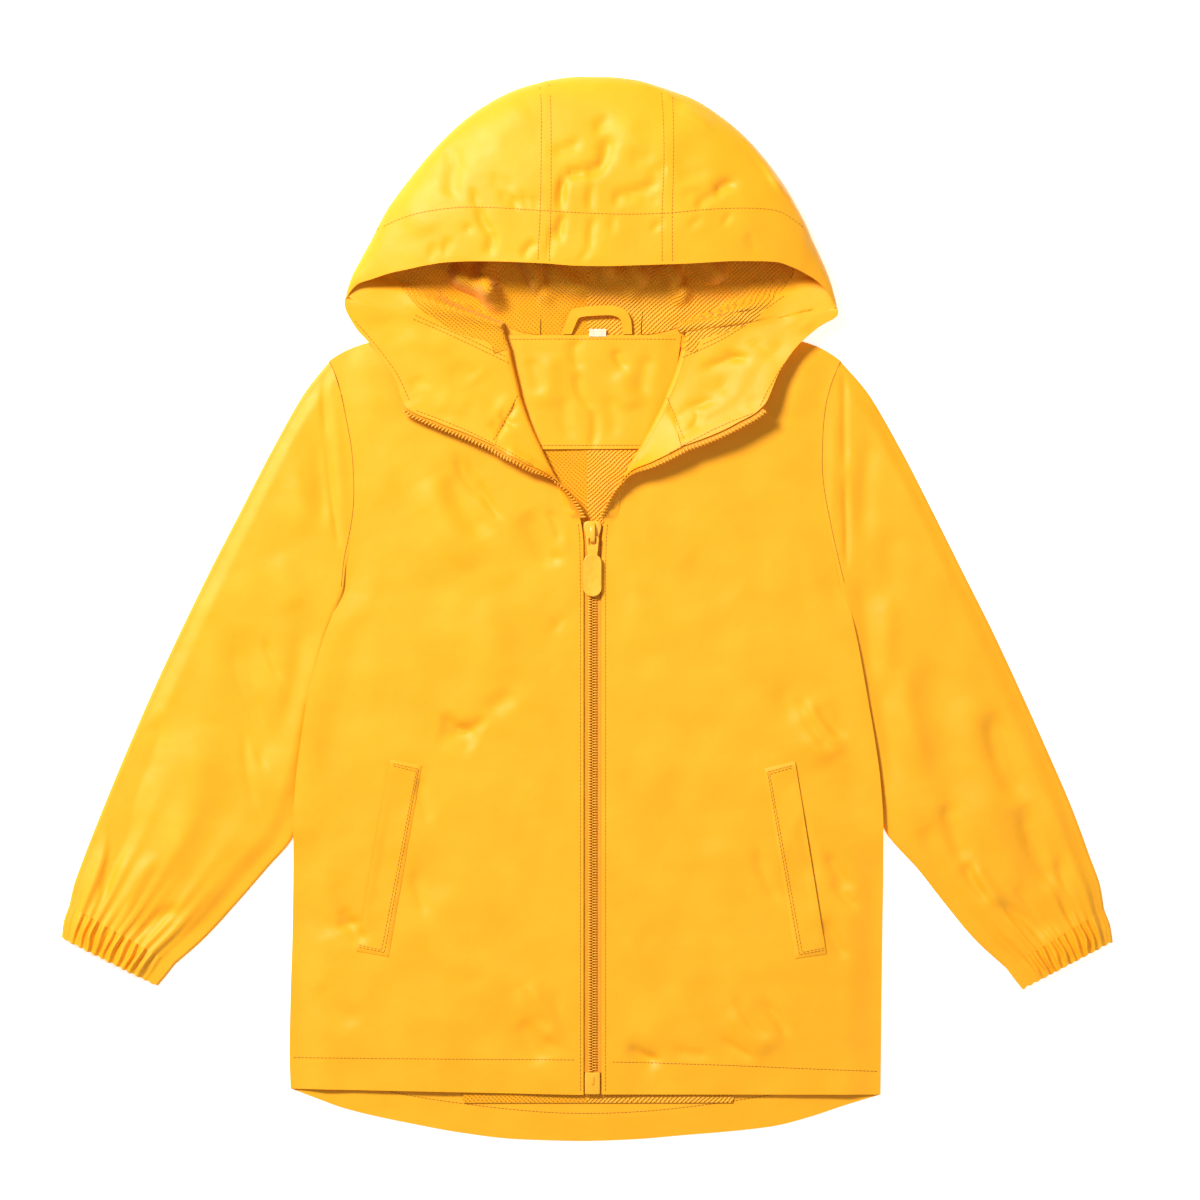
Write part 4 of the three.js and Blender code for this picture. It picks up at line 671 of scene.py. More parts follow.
def run_on(points, loop):
    out = points.copy()
    pairs = [((slice(None), 0), (slice(None), 1)), ((slice(None), -1), (slice(None), -2))]
    if not loop:
        pairs += [((0,), (1,)), ((-1,), (-2,))]
    for end, near in pairs:
        away = points[end] - points[near]
        length = np.maximum(np.linalg.norm(away, axis=-1, keepdims=True), 1e-6)
        out[end] = out[end] + away / length * SEWN_ON
    return out


# Every piece of cloth
def cloth(name, points, look, nodes, slot="shell", keep=None, loop=False, wall=CLOTH):
    """A thin shell around a grid of middle points, with a UV map in metres along the cloth."""
    nu, nv = points.shape[:2]
    if slot in ("shell", "net"):
        points = run_on(points, loop)
        points[..., 2] = np.maximum(points[..., 2], 0.3)
    bm = bmesh.new()
    bm.loops.layers.uv.new("cloth")
    bmesh.ops.create_grid(bm, x_segments=nu - 1, y_segments=nv - 1, size=1, calc_uvs=True)
    mesh = bpy.data.meshes.new(f"{name}_cloth")
    bm.to_mesh(mesh)
    bm.free()
    flat = np.empty(len(mesh.vertices) * 3)
    mesh.vertices.foreach_get("co", flat)
    flat = flat.reshape(-1, 3)
    i = np.rint((flat[:, 0] + 1) / 2 * (nu - 1)).astype(int)
    j = np.rint((flat[:, 1] + 1) / 2 * (nv - 1)).astype(int)
    mesh.vertices.foreach_set("co", (points[i, j] * MM).ravel())
    along_u = np.zeros((nu, nv))
    along_v = np.zeros((nu, nv))
    along_u[1:] = np.cumsum(np.linalg.norm(np.diff(points, axis=0), axis=2), axis=0)
    along_v[:, 1:] = np.cumsum(np.linalg.norm(np.diff(points, axis=1), axis=2), axis=1)
    corners = np.empty(len(mesh.loops), int)
    mesh.loops.foreach_get("vertex_index", corners)
    uv = np.stack([along_u[i, j], along_v[i, j]], axis=1)[corners] * MM
    mesh.uv_layers[0].data.foreach_set("uv", uv.ravel())
    bm = bmesh.new()
    bm.from_mesh(mesh)
    if keep is not None:
        bm.faces.ensure_lookup_table()
        ids = [(max(i[v.index] for v in f.verts), max(j[v.index] for v in f.verts)) for f in bm.faces]
        dropped = [f for f, (fi, fj) in zip(bm.faces, ids) if not keep(fi, fj)]
        bmesh.ops.delete(bm, geom=dropped, context="FACES")
    if loop:
        bmesh.ops.remove_doubles(bm, verts=bm.verts, dist=1e-7)
    for f in bm.faces:
        f.smooth = True
    for e in bm.edges:
        if e.is_boundary:
            e.smooth = False
    bm.to_mesh(mesh)
    bm.free()
    obj = bpy.data.objects.new(f"{name}_cloth", mesh)
    bpy.context.collection.objects.link(obj)
    mesh.materials.append(look)
    solid = obj.modifiers.new("wall", "SOLIDIFY")
    solid.thickness = wall * MM
    solid.offset = 0
    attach(obj, BODY)
    if nodes:
        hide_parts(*nodes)
    return obj


# Each cut lying flat: width and length in metres and area in square metres, sleeves and cuffs all round
CUT_SIZES = {
    "back": (0.414, 0.572, 0.2118),
    "front_left": (0.205, 0.539, 0.096),
    "front_right": (0.198, 0.538, 0.0929),
    "front_facing_left": (0.0403, 0.0903, 0.00172),
    "front_facing_right": (0.0365, 0.0887, 0.00169),
    "sleeve_left": (0.325, 0.424, 0.0808),
    "sleeve_right": (0.32, 0.429, 0.0787),
    "cuff_left": (0.204, 0.024, 0.00414),
    "cuff_right": (0.196, 0.024, 0.00383),
    "hood_centre": (0.091, 0.335, 0.0274),
    "hood_side_left": (0.166, 0.309, 0.0385),
    "hood_side_right": (0.158, 0.294, 0.0342),
    "hood_facing_centre": (0.087, 0.041, 0.0034),
    "hood_facing_left": (0.0835, 0.297, 0.01344),
    "hood_facing_right": (0.0757, 0.281, 0.01205),
    "hood_lining_centre": (0.0905, 0.293, 0.02375),
    "hood_lining_left": (0.133, 0.257, 0.0246),
    "hood_lining_right": (0.1285, 0.237, 0.0219),
    "neck_facing": (0.125, 0.081, 0.00904),
    "neck_binding": (0.131, 0.0162, 0.00212),
    "lining_back": (0.096, 0.068, 0.0047),
    "lining_hem": (0.192, 0.028, 0.0053),
    "hanger_loop": (0.0101, 0.075, 0.00044),
    "label": (0.0118, 0.0101, 6.4e-05),
    "pocket_welt_left": (0.023, 0.137, 0.00309),
    "pocket_welt_right": (0.0222, 0.137, 0.00299),
    "zip_tape_left": (0.0101, 0.382, 0.00317),
    "zip_tape_right": (0.0101, 0.382, 0.00317),
    "zip_open_tape_left": (0.0117, 0.1516, 0.00128),
    "zip_open_tape_right": (0.0114, 0.1428, 0.00126),
}

# What each cut lies on, where it isn't the floor
LIES_ON = {
    "front_left": "back",
    "front_right": "back",
    "front_facing_left": "front_left",
    "front_facing_right": "front_right",
    "hood_facing_centre": "hood_centre",
    "hood_facing_left": "hood_side_left",
    "hood_facing_right": "hood_side_right",
    "hood_lining_centre": "hood_centre",
    "hood_lining_left": "hood_side_left",
    "hood_lining_right": "hood_side_right",
    "neck_facing": "back",
    "neck_binding": "back",
    "lining_back": "back",
    "lining_hem": "back",
    "hanger_loop": "hood_lining_centre",
    "label": "neck_facing",
    "pocket_welt_left": "front_left",
    "pocket_welt_right": "front_right",
    "zip_tape_left": "back",
    "zip_tape_right": "back",
    "zip_open_tape_left": "front_left",
    "zip_open_tape_right": "front_right",
}


def declare(name, stitching=()):
    width, length, area = CUT_SIZES[name]
    held = "gathered" if name.startswith("cuff") else "laid"
    obj = bpy.data.objects[f"{name}_cloth"]
    LIES_ON.get(name, "floor")


# Fronts
def armhole_x(section, y):
    share = (section.outY - y) / (section.outY - section.inY)
    return mix(section.outX, section.inX, share) + section.bow * 4 * share * (1 - share)


def front_points(rows, hand, sleeve_rows, us, vs):
    u, v = np.meshgrid(us, vs, indexing="ij")
    r, before, after = rows.at(v), rows.at(v - 0.2), rows.at(v + 0.2)
    length = np.hypot(after.rollX - before.rollX, after.rollY - before.rollY)
    in_x = hand * (after.rollY - before.rollY) / length
    in_y = -hand * (after.rollX - before.rollX) / length
    angle = np.radians(r.turn)
    opening = smooth((v - LAPEL_FROM) / 2)
    neck = smooth(v - LAPEL_TO)
    back = mix(opening * (ROLL_BACK + ROLL_RADIUS), NECK_SETBACK, neck)
    start_x, start_y = r.rollX - in_x * back, r.rollY - in_y * back
    w = np.minimum(u, 1)
    curved = armhole_x(sleeve_rows.first(), r.sideY) + hand * ARMHOLE_GAP
    side_x = np.where(v > ARMPIT_ROW, curved, r.sideX)
    rise = SHOULDER_BOW * (1 - w) ** 0.7 * (1 - (1 - w) ** 6) * smooth(v - LAPEL_TO - 1)
    x = mix(side_x, start_x, w)
    y = mix(r.sideY, start_y, w) + rise
    reach = np.hypot(start_x - side_x, start_y - r.sideY)
    from_side = smooth((w * reach - EDGE_LEVEL * 0.3) / (EDGE_END - EDGE_LEVEL * 0.3))
    at_zip = mix(r.midZ, FRONT_Z, smooth((w - 0.8) / 0.2))
    level = mix(r.sideZ, at_zip, from_side)
    calm = from_side * smooth((1 - w) * 8) * smooth((LAPEL_TO + 1 - v) / 2)
    body = np.stack([x, y, level + calm * crease_height(FRONT_CREASES, x, y, 3.4) + 1.6 * calm * waves(x,
            y)], axis=2)
    arc = np.minimum(u - 1, 1) * angle
    roll = ROLL_RADIUS * opening
    flat = (1 - opening) * 2.2 * np.minimum(u - 1, 1)
    out = roll * np.sin(arc) + flat
    turned = np.stack([start_x + in_x * out, start_y + in_y * out, FRONT_Z + roll * (1 - np.cos(arc))],
            axis=2)
    t = np.maximum(u - 2, 0)
    edge = np.stack([r.edgeX, r.edgeY, r.edgeZ], axis=2)
    rise = np.where(opening < 1, t, t ** 1.6)
    bent = np.stack([t, t, rise], axis=2)
    lapel = mix(turned, edge, bent)
    x, y = lapel[..., 0], lapel[..., 1]
    soft = opening * smooth(t * 6)
    lapel[..., 2] += soft * (crease_height(LAPEL_CREASES, x, y, 2.3) + waves(x, y))
    return np.where((u <= 1)[..., None], body, np.where((u <= 2)[..., None], turned, lapel))


# Parts of a front across: the body, the round of the turn and the lapel
BODY_STEPS = 74
TURN_STEPS = 8
LAPEL_STEPS = 26


def front(side, rows, hand, sleeve_rows, look):
    table = rows.rows
    lengths = np.hypot(np.diff(table[:, 4]), np.diff(table[:, 5]))
    sides = np.hypot(np.diff(table[:, 0]), np.diff(table[:, 1]))
    vs = spaced(np.maximum(lengths, sides))
    body = np.linspace(0, 1, BODY_STEPS + 1)
    us = np.concatenate([body, 1 + np.arange(1, TURN_STEPS + 1) / TURN_STEPS, 2 + np.arange(1,
            LAPEL_STEPS + 1) / LAPEL_STEPS])
    points = front_points(rows, hand, sleeve_rows, us, vs)
    top = int(np.searchsorted(vs, LAPEL_TO - 1e-6))
    panel = cloth(f"front_{side}", points, look, [f"front_{side}"], keep=lambda i,
            j: i <= BODY_STEPS or j <= top)
    facing_us = np.concatenate([[1.0], us[us > 1 + 1e-9]])
    facing_vs = vs[(vs >= LAPEL_FROM + 2) & (vs <= LAPEL_TO)]
    grid = front_points(rows, hand, sleeve_rows, facing_us, facing_vs)
    grid = grid - hand * LAYER * normals(grid)
    facing = cloth(f"front_facing_{side}", grid, look, [f"front_facing_{side}"])
    return panel, facing


# Back
def back_points(us, vs):
    u, v = np.meshgrid(us, vs, indexing="ij")
    last = len(BACK_ROWS) - 1
    row, hem, top = BACK_ROWS.at(v), BACK_HEM.at(u), BACK_TOP.at(u)
    share = (hem.x - BACK_HEM.rows[0, 0]) / (BACK_HEM.rows[-1, 0] - BACK_HEM.rows[0, 0])
    armhole = v > ARMPIT_BACK_ROW
    left = np.where(armhole, armhole_x(LEFT_SLEEVE.first(), row.leftY) + ARMHOLE_GAP, row.leftX)
    right = np.where(armhole, armhole_x(RIGHT_SLEEVE.first(), row.rightY) - ARMHOLE_GAP, row.rightX)
    x, y = mix(left, right, share), mix(row.leftY, row.rightY, share)
    down = clamp(-v / 2, 0, 1)
    x, y = mix(x, hem.x, down), mix(y, hem.y, down)
    up = clamp((v - last) / 2, 0, 1)
    x, y = mix(x, top.x, up), mix(y, top.y, up)
    inside = np.minimum(share, 1 - share) * (right - left)
    low = smooth((inside - EDGE_LEVEL) / (EDGE_END - EDGE_LEVEL))
    z = mix(row.edgeZ, REST, low)
    shown = smooth(down * 3) * smooth(inside / 20)
    return np.stack([x, y, z + shown * np.maximum(0, crease_height(BACK_CREASES, x, y) + 0.25)], axis=2)


def back(look):
    us = np.linspace(0, len(BACK_HEM) - 1, 133)
    rows = BACK_ROWS.rows
    lengths = np.hypot(np.diff(rows[:, 0]), np.diff(rows[:, 1]))
    inner = spaced(lengths, 4.2)
    below = np.linspace(-2, 0, 18)[:-1]
    above = len(BACK_ROWS) - 1 + np.linspace(0, 2, 12)[1:]
    return cloth("back", back_points(us, np.concatenate([below, inner, above])), look, ["back"])


# Sleeves and cuffs
def crowded(t):
    return mix(t, (1 - np.cos(np.pi * t)) / 2, 0.75)


def ring(r, w, height, rest=REST):
    """A flattened ring's points: w runs 0 to 1 over the upper cloth and 1 to 2 back along the under."""
    upper = w <= 1
    share = crowded(np.where(upper, w, 2 - w))
    dx, dy = r.inX - r.outX, r.inY - r.outY
    length = np.hypot(dx, dy)
    bow = r.bow * 4 * share * (1 - share)
    x = r.outX + dx * share - dy / length * bow
    y = r.outY + dy * share + dx / length * bow
    from_edge = np.minimum(share, 1 - share) * length
    edge = mix(1.3, r.edge, smooth(from_edge / 1.5))
    tucked = np.where(np.abs(r.bow) > 1e-9, 0, INNER_TUCK)
    level = np.where(share < 0.5, from_edge - 1.5, from_edge - 1.5 - tucked) / 13
    top = mix(edge, height(x, y, share, from_edge), smooth(level))
    return np.stack([x, y, np.where(upper, top, rest)], axis=2)


# Gathers where the elastic draws the cloth in: place across, half width, height and reach up the sleeve
GATHER_COLUMNS = "place width height reach"
GATHERS = Table(GATHER_COLUMNS, [
    [0.045, 0.017, 1.5, 22], [0.115, 0.024, 1.8, 46], [0.195, 0.019, 1.3, 18], [0.265, 0.022, 1.9, 64],
    [0.345, 0.026, 1.6, 34], [0.425, 0.018, 1.4, 26], [0.490, 0.023, 1.9, 58], [0.570, 0.025, 1.5, 30],
    [0.645, 0.018, 1.7, 20], [0.710, 0.023, 1.8, 52], [0.790, 0.026, 1.5, 40], [0.870, 0.019, 1.6, 24],
    [0.945, 0.021, 1.7, 36],
])


def gathered(share, distance):
    """Ridges of the drawn-in cloth at a share of its width and a distance from the elastic's seam."""
    height = np.zeros(np.shape(share))
    for g in GATHERS:
        fade = np.exp(-np.maximum(distance, 0) / g.reach)
        wide = g.width * (1 + np.maximum(distance, 0) / 60)
        height = height + g.height * fade * np.exp(-((share - g.place) / wide) ** 2)
    return height - 0.6 * np.exp(-np.maximum(distance, 0) / 26)


# How far the sleeve runs in under the body below the armpit
ARMPIT_TUCK = 5.5


def sleeve(side, rows, look):
    table = rows.rows
    lengths = np.hypot(np.diff(table[:, 0]), np.diff(table[:, 1]))
    vs = spaced(lengths, 2.4)
    around = np.concatenate([np.linspace(0, 1, 62), 1 + np.linspace(0, 1, 27)[1:]])
    w, v = np.meshgrid(around, vs, indexing="ij")
    r = rows.at(v)
    toward_body = 1 if side == "left" else -1
    r.inX = r.inX + toward_body * ARMPIT_TUCK * smooth(v / 0.8) * smooth((6 - v) / 3)
    run = np.concatenate([[0], np.cumsum(lengths)])
    distance = run[-1] - np.interp(v, np.arange(len(run)), run)

    def height(x, y, share, from_edge):
        away = smooth(v / 1.5)
        soft = away * (crease_height(SLEEVE_CREASES, x, y, 3.0) + 1.6 * waves(x, y))
        folds = crease_height(SLEEVE_FOLDS, x, y)
        drawn = 1.9 * gathered(share, distance) * smooth(from_edge / 6)
        return np.maximum(2.4, r.height + soft + folds + drawn)

    return cloth(f"sleeve_{side}", ring(r, w, height), look, [f"sleeve_{side}"], loop=True)


def cuff(side, rows, look):
    vs = np.linspace(0, 2, 15)
    around = np.concatenate([np.linspace(0, 1, 180), 1 + np.linspace(0, 1, 90)[1:]])
    w, v = np.meshgrid(around, vs, indexing="ij")
    r = rows.at(v)

    def height(x, y, share, from_edge):
        pinch = 0.75 + 0.35 * np.sin(math.pi * v / 2 + 0.3)
        drift = 0.006 * np.sin(v * 2.6 + share * 23)
        fine = 0.22 * np.sin(share * 151 + v * 1.7)
        return r.height - 0.2 + 2.3 * pinch * gathered(share + drift, 0 * v) + fine

    points = ring(r, w, height)
    under = w > 1
    waved = 0.35 * (1 + np.sin(crowded(2 - w) * 80)) * smooth(np.minimum(2 - w, w - 1) * 14)
    points[..., 2] += np.where(under, waved, 0)
    along_x, along_y = r.inY - r.outY, -(r.inX - r.outX)
    length = np.hypot(along_x, along_y)
    share = crowded(np.where(under, 2 - w, w))
    puckered = 0.55 * gathered(share, 0 * v) * (v / 2) ** 2
    points[..., 0] += along_x / length * puckered
    points[..., 1] += along_y / length * puckered
    return cloth(f"cuff_{side}", points, look, [f"cuff_{side}"], loop=True)


# Hood
def under_height(r, t):
    stops, levels = [0, 0.25, 0.6, 1], [r.near, r.near, r.mid, r.far]
    height = np.full(np.shape(t), float(r.near))
    for k in range(3):
        part = smooth((t - stops[k]) / (stops[k + 1] - stops[k]))
        height = np.where(t >= stops[k], mix(levels[k], levels[k + 1], part), height)
    return height


def hood_chain(r):
    """One line over the hood as points, with the length up to each and the pace of its steps."""
    inward = np.array([math.cos(math.radians(r.inward)), math.sin(math.radians(r.inward))])
    turn = math.radians(r.turn)
    if r.turn < 90:
        reach = math.sin(turn) * ROLL_RADIUS + r.tail * math.cos(turn)
    else:
        reach = ROLL_RADIUS
    start = np.array([r.neckX, r.neckY]) - inward * (reach + ROLL_BACK * r.turn / 180)
    edge, fold = np.array([r.edgeX, r.edgeY]), np.array([r.foldX, r.foldY])
    upper = np.hypot(*(edge - fold))
    parts = []
    if upper > 0.5:
        q = (np.linspace(1, 0, 61)[:-1] ** 1.6)[:, None]
        rise = (1 - (1 - q) ** CROWN_POWER) ** (1 / CROWN_POWER)
        parts.append(np.hstack([mix(fold, edge, q), mix(r.foldZ, r.edgeZ, rise)]))
    t = (np.linspace(0, 1, 91) ** 1.5)[:, None]
    under = np.hypot(*(start - fold))
    away = clamp(t * under / max(0.01, min(FOLD_REACH, upper * 0.7)), 0, 1)
    drop = np.sqrt(1 - (1 - away) ** 2) if upper > 0.5 else smooth(t / 0.25)
    parts.append(np.hstack([mix(fold, start, t), mix(r.foldZ, under_height(r, t), drop)]))
    points = np.vstack(parts)
    spans = np.linalg.norm(np.diff(points, axis=0), axis=1)
    lengths = np.concatenate([[0], np.cumsum(spans)])
    at_fold = lengths[60] if upper > 0.5 else math.inf
    paces = spans * (1 + FOLD_CROWD * np.exp(-((lengths[:-1] - at_fold) / FOLD_SPREAD) ** 2))
    chain = SimpleNamespace(points=points, lengths=lengths, paces=np.concatenate([[0], np.cumsum(paces)]))
    chain.start, chain.inward, chain.turn, chain.far, chain.tail = start, inward, turn, r.far, r.tail
    chain.facing, chain.upper = r.facing, upper
    return chain


def hood_points(rows, us, facing_steps, lining_steps, roll_steps):
    """Middle points of a hood panel, line by line."""
    grid = []
    for u in us:
        r = rows.at(u)
        c = hood_chain(r)
        facing = np.interp(min(c.facing, c.lengths[-1] - 8), c.lengths, c.paces)
        paces = np.concatenate([
            np.linspace(0, facing, facing_steps + 1),
            np.linspace(facing, c.paces[-1], lining_steps + 1)[1:],
        ])
        line = np.stack([np.interp(paces, c.paces, c.points[:, k]) for k in range(3)], axis=1)
        arc = ROLL_RADIUS * c.turn
        s = np.linspace(0, arc + c.tail, roll_steps + 1)[1:]
        on_arc = np.minimum(s, arc) / ROLL_RADIUS
        beyond = np.maximum(0, s - arc)
        out = ROLL_RADIUS * np.sin(on_arc) + beyond * math.cos(c.turn)
        down = ROLL_RADIUS * (1 - np.cos(on_arc)) + beyond * math.sin(c.turn)
        roll = np.stack([c.start[0] + c.inward[0] * out, c.start[1] + c.inward[1] * out, c.far - down],
                axis=1)
        grid.append(np.vstack([line, roll]))
    return np.array(grid)


FACING_STEPS = 16
LINING_STEPS = 96
ROLL_STEPS = 8


def hood_panel(side, rows, hand, per_line, shell, net):
    lines = len(rows)
    us = np.linspace(0, lines - 1, (lines - 1) * per_line + 1)
    points = hood_points(rows, us, FACING_STEPS, LINING_STEPS, ROLL_STEPS)
    outward = -hand * normals(points)
    x, y = points[..., 0], points[..., 1]
    crown = smooth(outward[..., 2] * 3 - 0.4)
    under = smooth(-outward[..., 2] * 3 - 0.4)
    row = np.arange(points.shape[1])[None, :]
    edge = smooth(row / 2.0) * np.ones_like(x)
    held = smooth((FACING_STEPS + LINING_STEPS - row) / 10) * np.ones_like(x)
    above = crease_height(CROWN_CREASES, x, y, 2.6) + 1.5 * waves(x, y)
    on_lapel = smooth((us[:, None] - 10) / 1.5) * np.ones_like(x)
    lapel = crease_height(LAPEL_CREASES, x, y, 2.3) + waves(x, y)
    inside = crease_height(INSIDE_CREASES, x, y, 1.6) + waves(x, y)
    height = crown * above * edge + under * held * mix(inside, lapel * edge, on_lapel)
    points = lifted(points, height, 0.55)
    outward = -hand * normals(points)
    panel = cloth(f"hood_{side}", points, shell, [f"hood_{side}"])
    zip_from = int(np.searchsorted(us, ZIP_END_LINE)) if lines > ZIP_END_LINE else len(us)
    net_to = int(np.searchsorted(us, NET_END_LINE)) if lines > ZIP_END_LINE else len(us)
    apart = mix(EDGE_LAYER, LAYER, smooth(row / 4)) * np.ones_like(x)
    apart[zip_from:] = LAYER
    inner = points - outward * apart[..., None]
    short = side.replace("side_", "")
    nodes = [f"hood_facing_{short}"]
    if lines > ZIP_END_LINE:
        facing = cloth(
            f"hood_facing_{short}", inner, shell, nodes, keep=lambda i, j: j <= FACING_STEPS or i > net_to,
        )
    else:
        facing = cloth(f"hood_facing_{short}", inner[:, : FACING_STEPS + 1], shell, nodes)
    lining = cloth(
        f"hood_lining_{short}", inner[: net_to + 1, FACING_STEPS:], net, [f"hood_lining_{short}"], slot="net",
    )
    return panel, facing, lining


# Flat pieces between two outlines
def strip_points(rows, across, down, creases=None):
    u, v = np.meshgrid(np.linspace(0, 1, across), np.linspace(0, len(rows) - 1, down), indexing="ij")
    r = rows.at(v)
    x, y = mix(r.x1, r.x2, u), mix(r.y1, r.y2, u)
    z = r.z + 0 * u
    if creases is not None:
        inside = smooth(np.minimum(u, 1 - u) * 8)
        z = z + np.maximum(-0.3, inside * (1.5 + crease_height(creases, x, y, 3.0) + 1.5 * waves(x, y)))
    return np.stack([x, y, z], axis=2)


# Welts: the slit edge and the stitched edge, each from top to bottom
WELT_COLUMNS = "slitX slitY sewnX sewnY"
LEFT_WELT = Table(WELT_COLUMNS, [[-137.6, -105.4, -116.6, -109.6], [-160.7, -238.4, -139.7, -241.9]])
RIGHT_WELT = Table(WELT_COLUMNS, [[144.6, -106.8, 124.3, -111.7], [166.3, -240.5, 146, -243.3]])
WELT_LIFT = 1.15


def welt(side, corners, under, look):
    s, t = np.meshgrid(np.linspace(0, 1, 23), np.linspace(0, 1, 90), indexing="ij")
    r = corners.at(t)
    x, y = mix(r.slitX, r.sewnX, s), mix(r.slitY, r.sewnY, s)
    z = heights_over(under, x, y)
    width, length = 21, 135
    sewn = np.minimum(np.minimum((1 - s) * width, t * length), (1 - t) * length)
    pressed = smooth(sewn / 1.6)
    open_slit = smooth(1 - s * 3) * np.sin(math.pi * t) ** 2
    ripple = 0.12 * np.sin(t * 41) * np.sin(s * 5) + 0.1 * np.sin(t * 17 + 1)
    lift = mix(0.55, WELT_LIFT, pressed) + 0.9 * open_slit + ripple * pressed
    return cloth(f"pocket_welt_{side}", np.stack([x, y, z + lift], axis=2), look, [f"pocket_welt_{side}"])


# Reading heights off a finished piece
class Ground:
    """The upper faces of some pieces' middle surfaces, to lay stitches and trims on."""

    def __init__(self, *pieces):
        self.trees = []
        for piece in pieces:
            bm = bmesh.new()
            bm.from_mesh(piece.data)
            self.trees.append(BVHTree.FromBMesh(bm))
            bm.free()

    def hit(self, x, y):
        best = None
        for tree in self.trees:
            place, normal, _, _ = tree.ray_cast(Vector((x * MM, y * MM, 0.2)), Vector((0, 0, -1)))
            if place is not None and (best is None or place.z > best[0].z):
                best = (place, normal if normal.z > 0 else -normal)
        return best


def heights_over(ground, x, y):
    out = np.zeros(np.shape(x))
    for k in np.ndindex(np.shape(x)):
        found = ground.hit(x[k], y[k])
        out[k] = found[0].z / MM if found else FRONT_Z
    return out


# Small parts
def named_piece(name, bm, look, body=BODY, slot=None, nodes=(), smooth_angle=40):
    mesh = bpy.data.meshes.new(name)
    bm.to_mesh(mesh)
    bm.free()
    mesh.shade_smooth()
    mesh.set_sharp_from_angle(angle=math.radians(smooth_angle))
    obj = bpy.data.objects.new(name, mesh)
    bpy.context.collection.objects.link(obj)
    mesh.materials.append(look)
    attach(obj, body)
    if nodes:
        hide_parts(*nodes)
    return obj


def slab(outline, low, high, bevel=0.0, segments=3, inner=None):
    """A flat solid from an outline, with its long rims rounded; inner cuts an eye of as many points."""
    bm = bmesh.new()
    loops = []
    for line in [outline] + ([inner] if inner else []):
        verts = [bm.verts.new((x, y, low)) for x, y in line]
        loops.append([bm.edges.new((a, b)) for a, b in zip(verts, verts[1:] + verts[:1])])
    if inner:
        bmesh.ops.bridge_loops(bm, edges=loops[0] + loops[1])
    else:
        bmesh.ops.contextual_create(bm, geom=loops[0])
    raised = bmesh.ops.extrude_face_region(bm, geom=bm.faces[:])
    top = [g for g in raised["geom"] if isinstance(g, bmesh.types.BMVert)]
    bmesh.ops.translate(bm, verts=top, vec=(0, 0, high - low))
    if inner:
        under = [f for f in bm.faces if all(abs(v.co.z - low) < 1e-6 for v in f.verts)]
        for f in under:
            f.normal_flip()
    bmesh.ops.recalc_face_normals(bm, faces=bm.faces)
    if bevel:
        rims = [e for e in bm.edges if len({round(v.co.z,
                5) for v in e.verts}) == 1 and e.calc_face_angle(0) > 0.5]
        bmesh.ops.bevel(
            bm, geom=rims, offset=bevel, segments=segments, profile=0.5, affect="EDGES", material=-1,
        )
    return bm


def metres(bm, matrix=Matrix()):
    bmesh.ops.transform(bm, matrix=Matrix.Scale(MM, 4) @ matrix, verts=bm.verts)
    return bm


def repeated(name, template, frames, look, body=BODY, slot=None, nodes=()):
    """One mesh holding a small shape many times, each in its own frame: place, along, aside, up."""
    verts = np.array([v.co[:] for v in template.verts])
    faces = [[v.index for v in f.verts] for f in template.faces]
    template.free()
    places, turns = frames
    every = np.einsum("vk,nkc->nvc", verts, turns) + places[:, None, :]
    count = len(verts)
    mesh = bpy.data.meshes.new(name)
    all_faces = [[i + n * count for i in f] for n in range(len(places)) for f in faces]
    mesh.from_pydata((every.reshape(-1, 3) * MM).tolist(), [], all_faces)
    mesh.shade_smooth()
    obj = bpy.data.objects.new(name, mesh)
    bpy.context.collection.objects.link(obj)
    mesh.materials.append(look)
    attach(obj, body)
    if nodes:
        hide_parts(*nodes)
    return obj


def indexed(bm):
    bm.verts.index_update()
    bm.verts.ensure_lookup_table()
    return bm


def resampled(points, pitch):
    points = np.array(points, float)
    run = np.concatenate([[0], np.cumsum(np.linalg.norm(np.diff(points, axis=0), axis=1))])
    count = max(2, round(run[-1] / pitch))
    at = (np.arange(count) + 0.5) / count * run[-1]
    return np.stack([np.interp(at, run, points[:, k]) for k in range(points.shape[1])], axis=1)


STITCH_PITCH = 2.7
STITCH_LENGTH = 2.3
STITCH_WIDTH = 0.55
LINE_PITCH = 2.2
LINE_LENGTH = 3.2


def eased(points):
    """A run of given points with its corners rounded twice."""
    points = np.array(points, float)
    for _ in range(2):
        cut = [points[0]]
        for a, b in zip(points[:-1], points[1:]):
            cut += [mix(a, b, 0.25), mix(a, b, 0.75)]
        points = np.array(cut + [points[-1]])
    return points


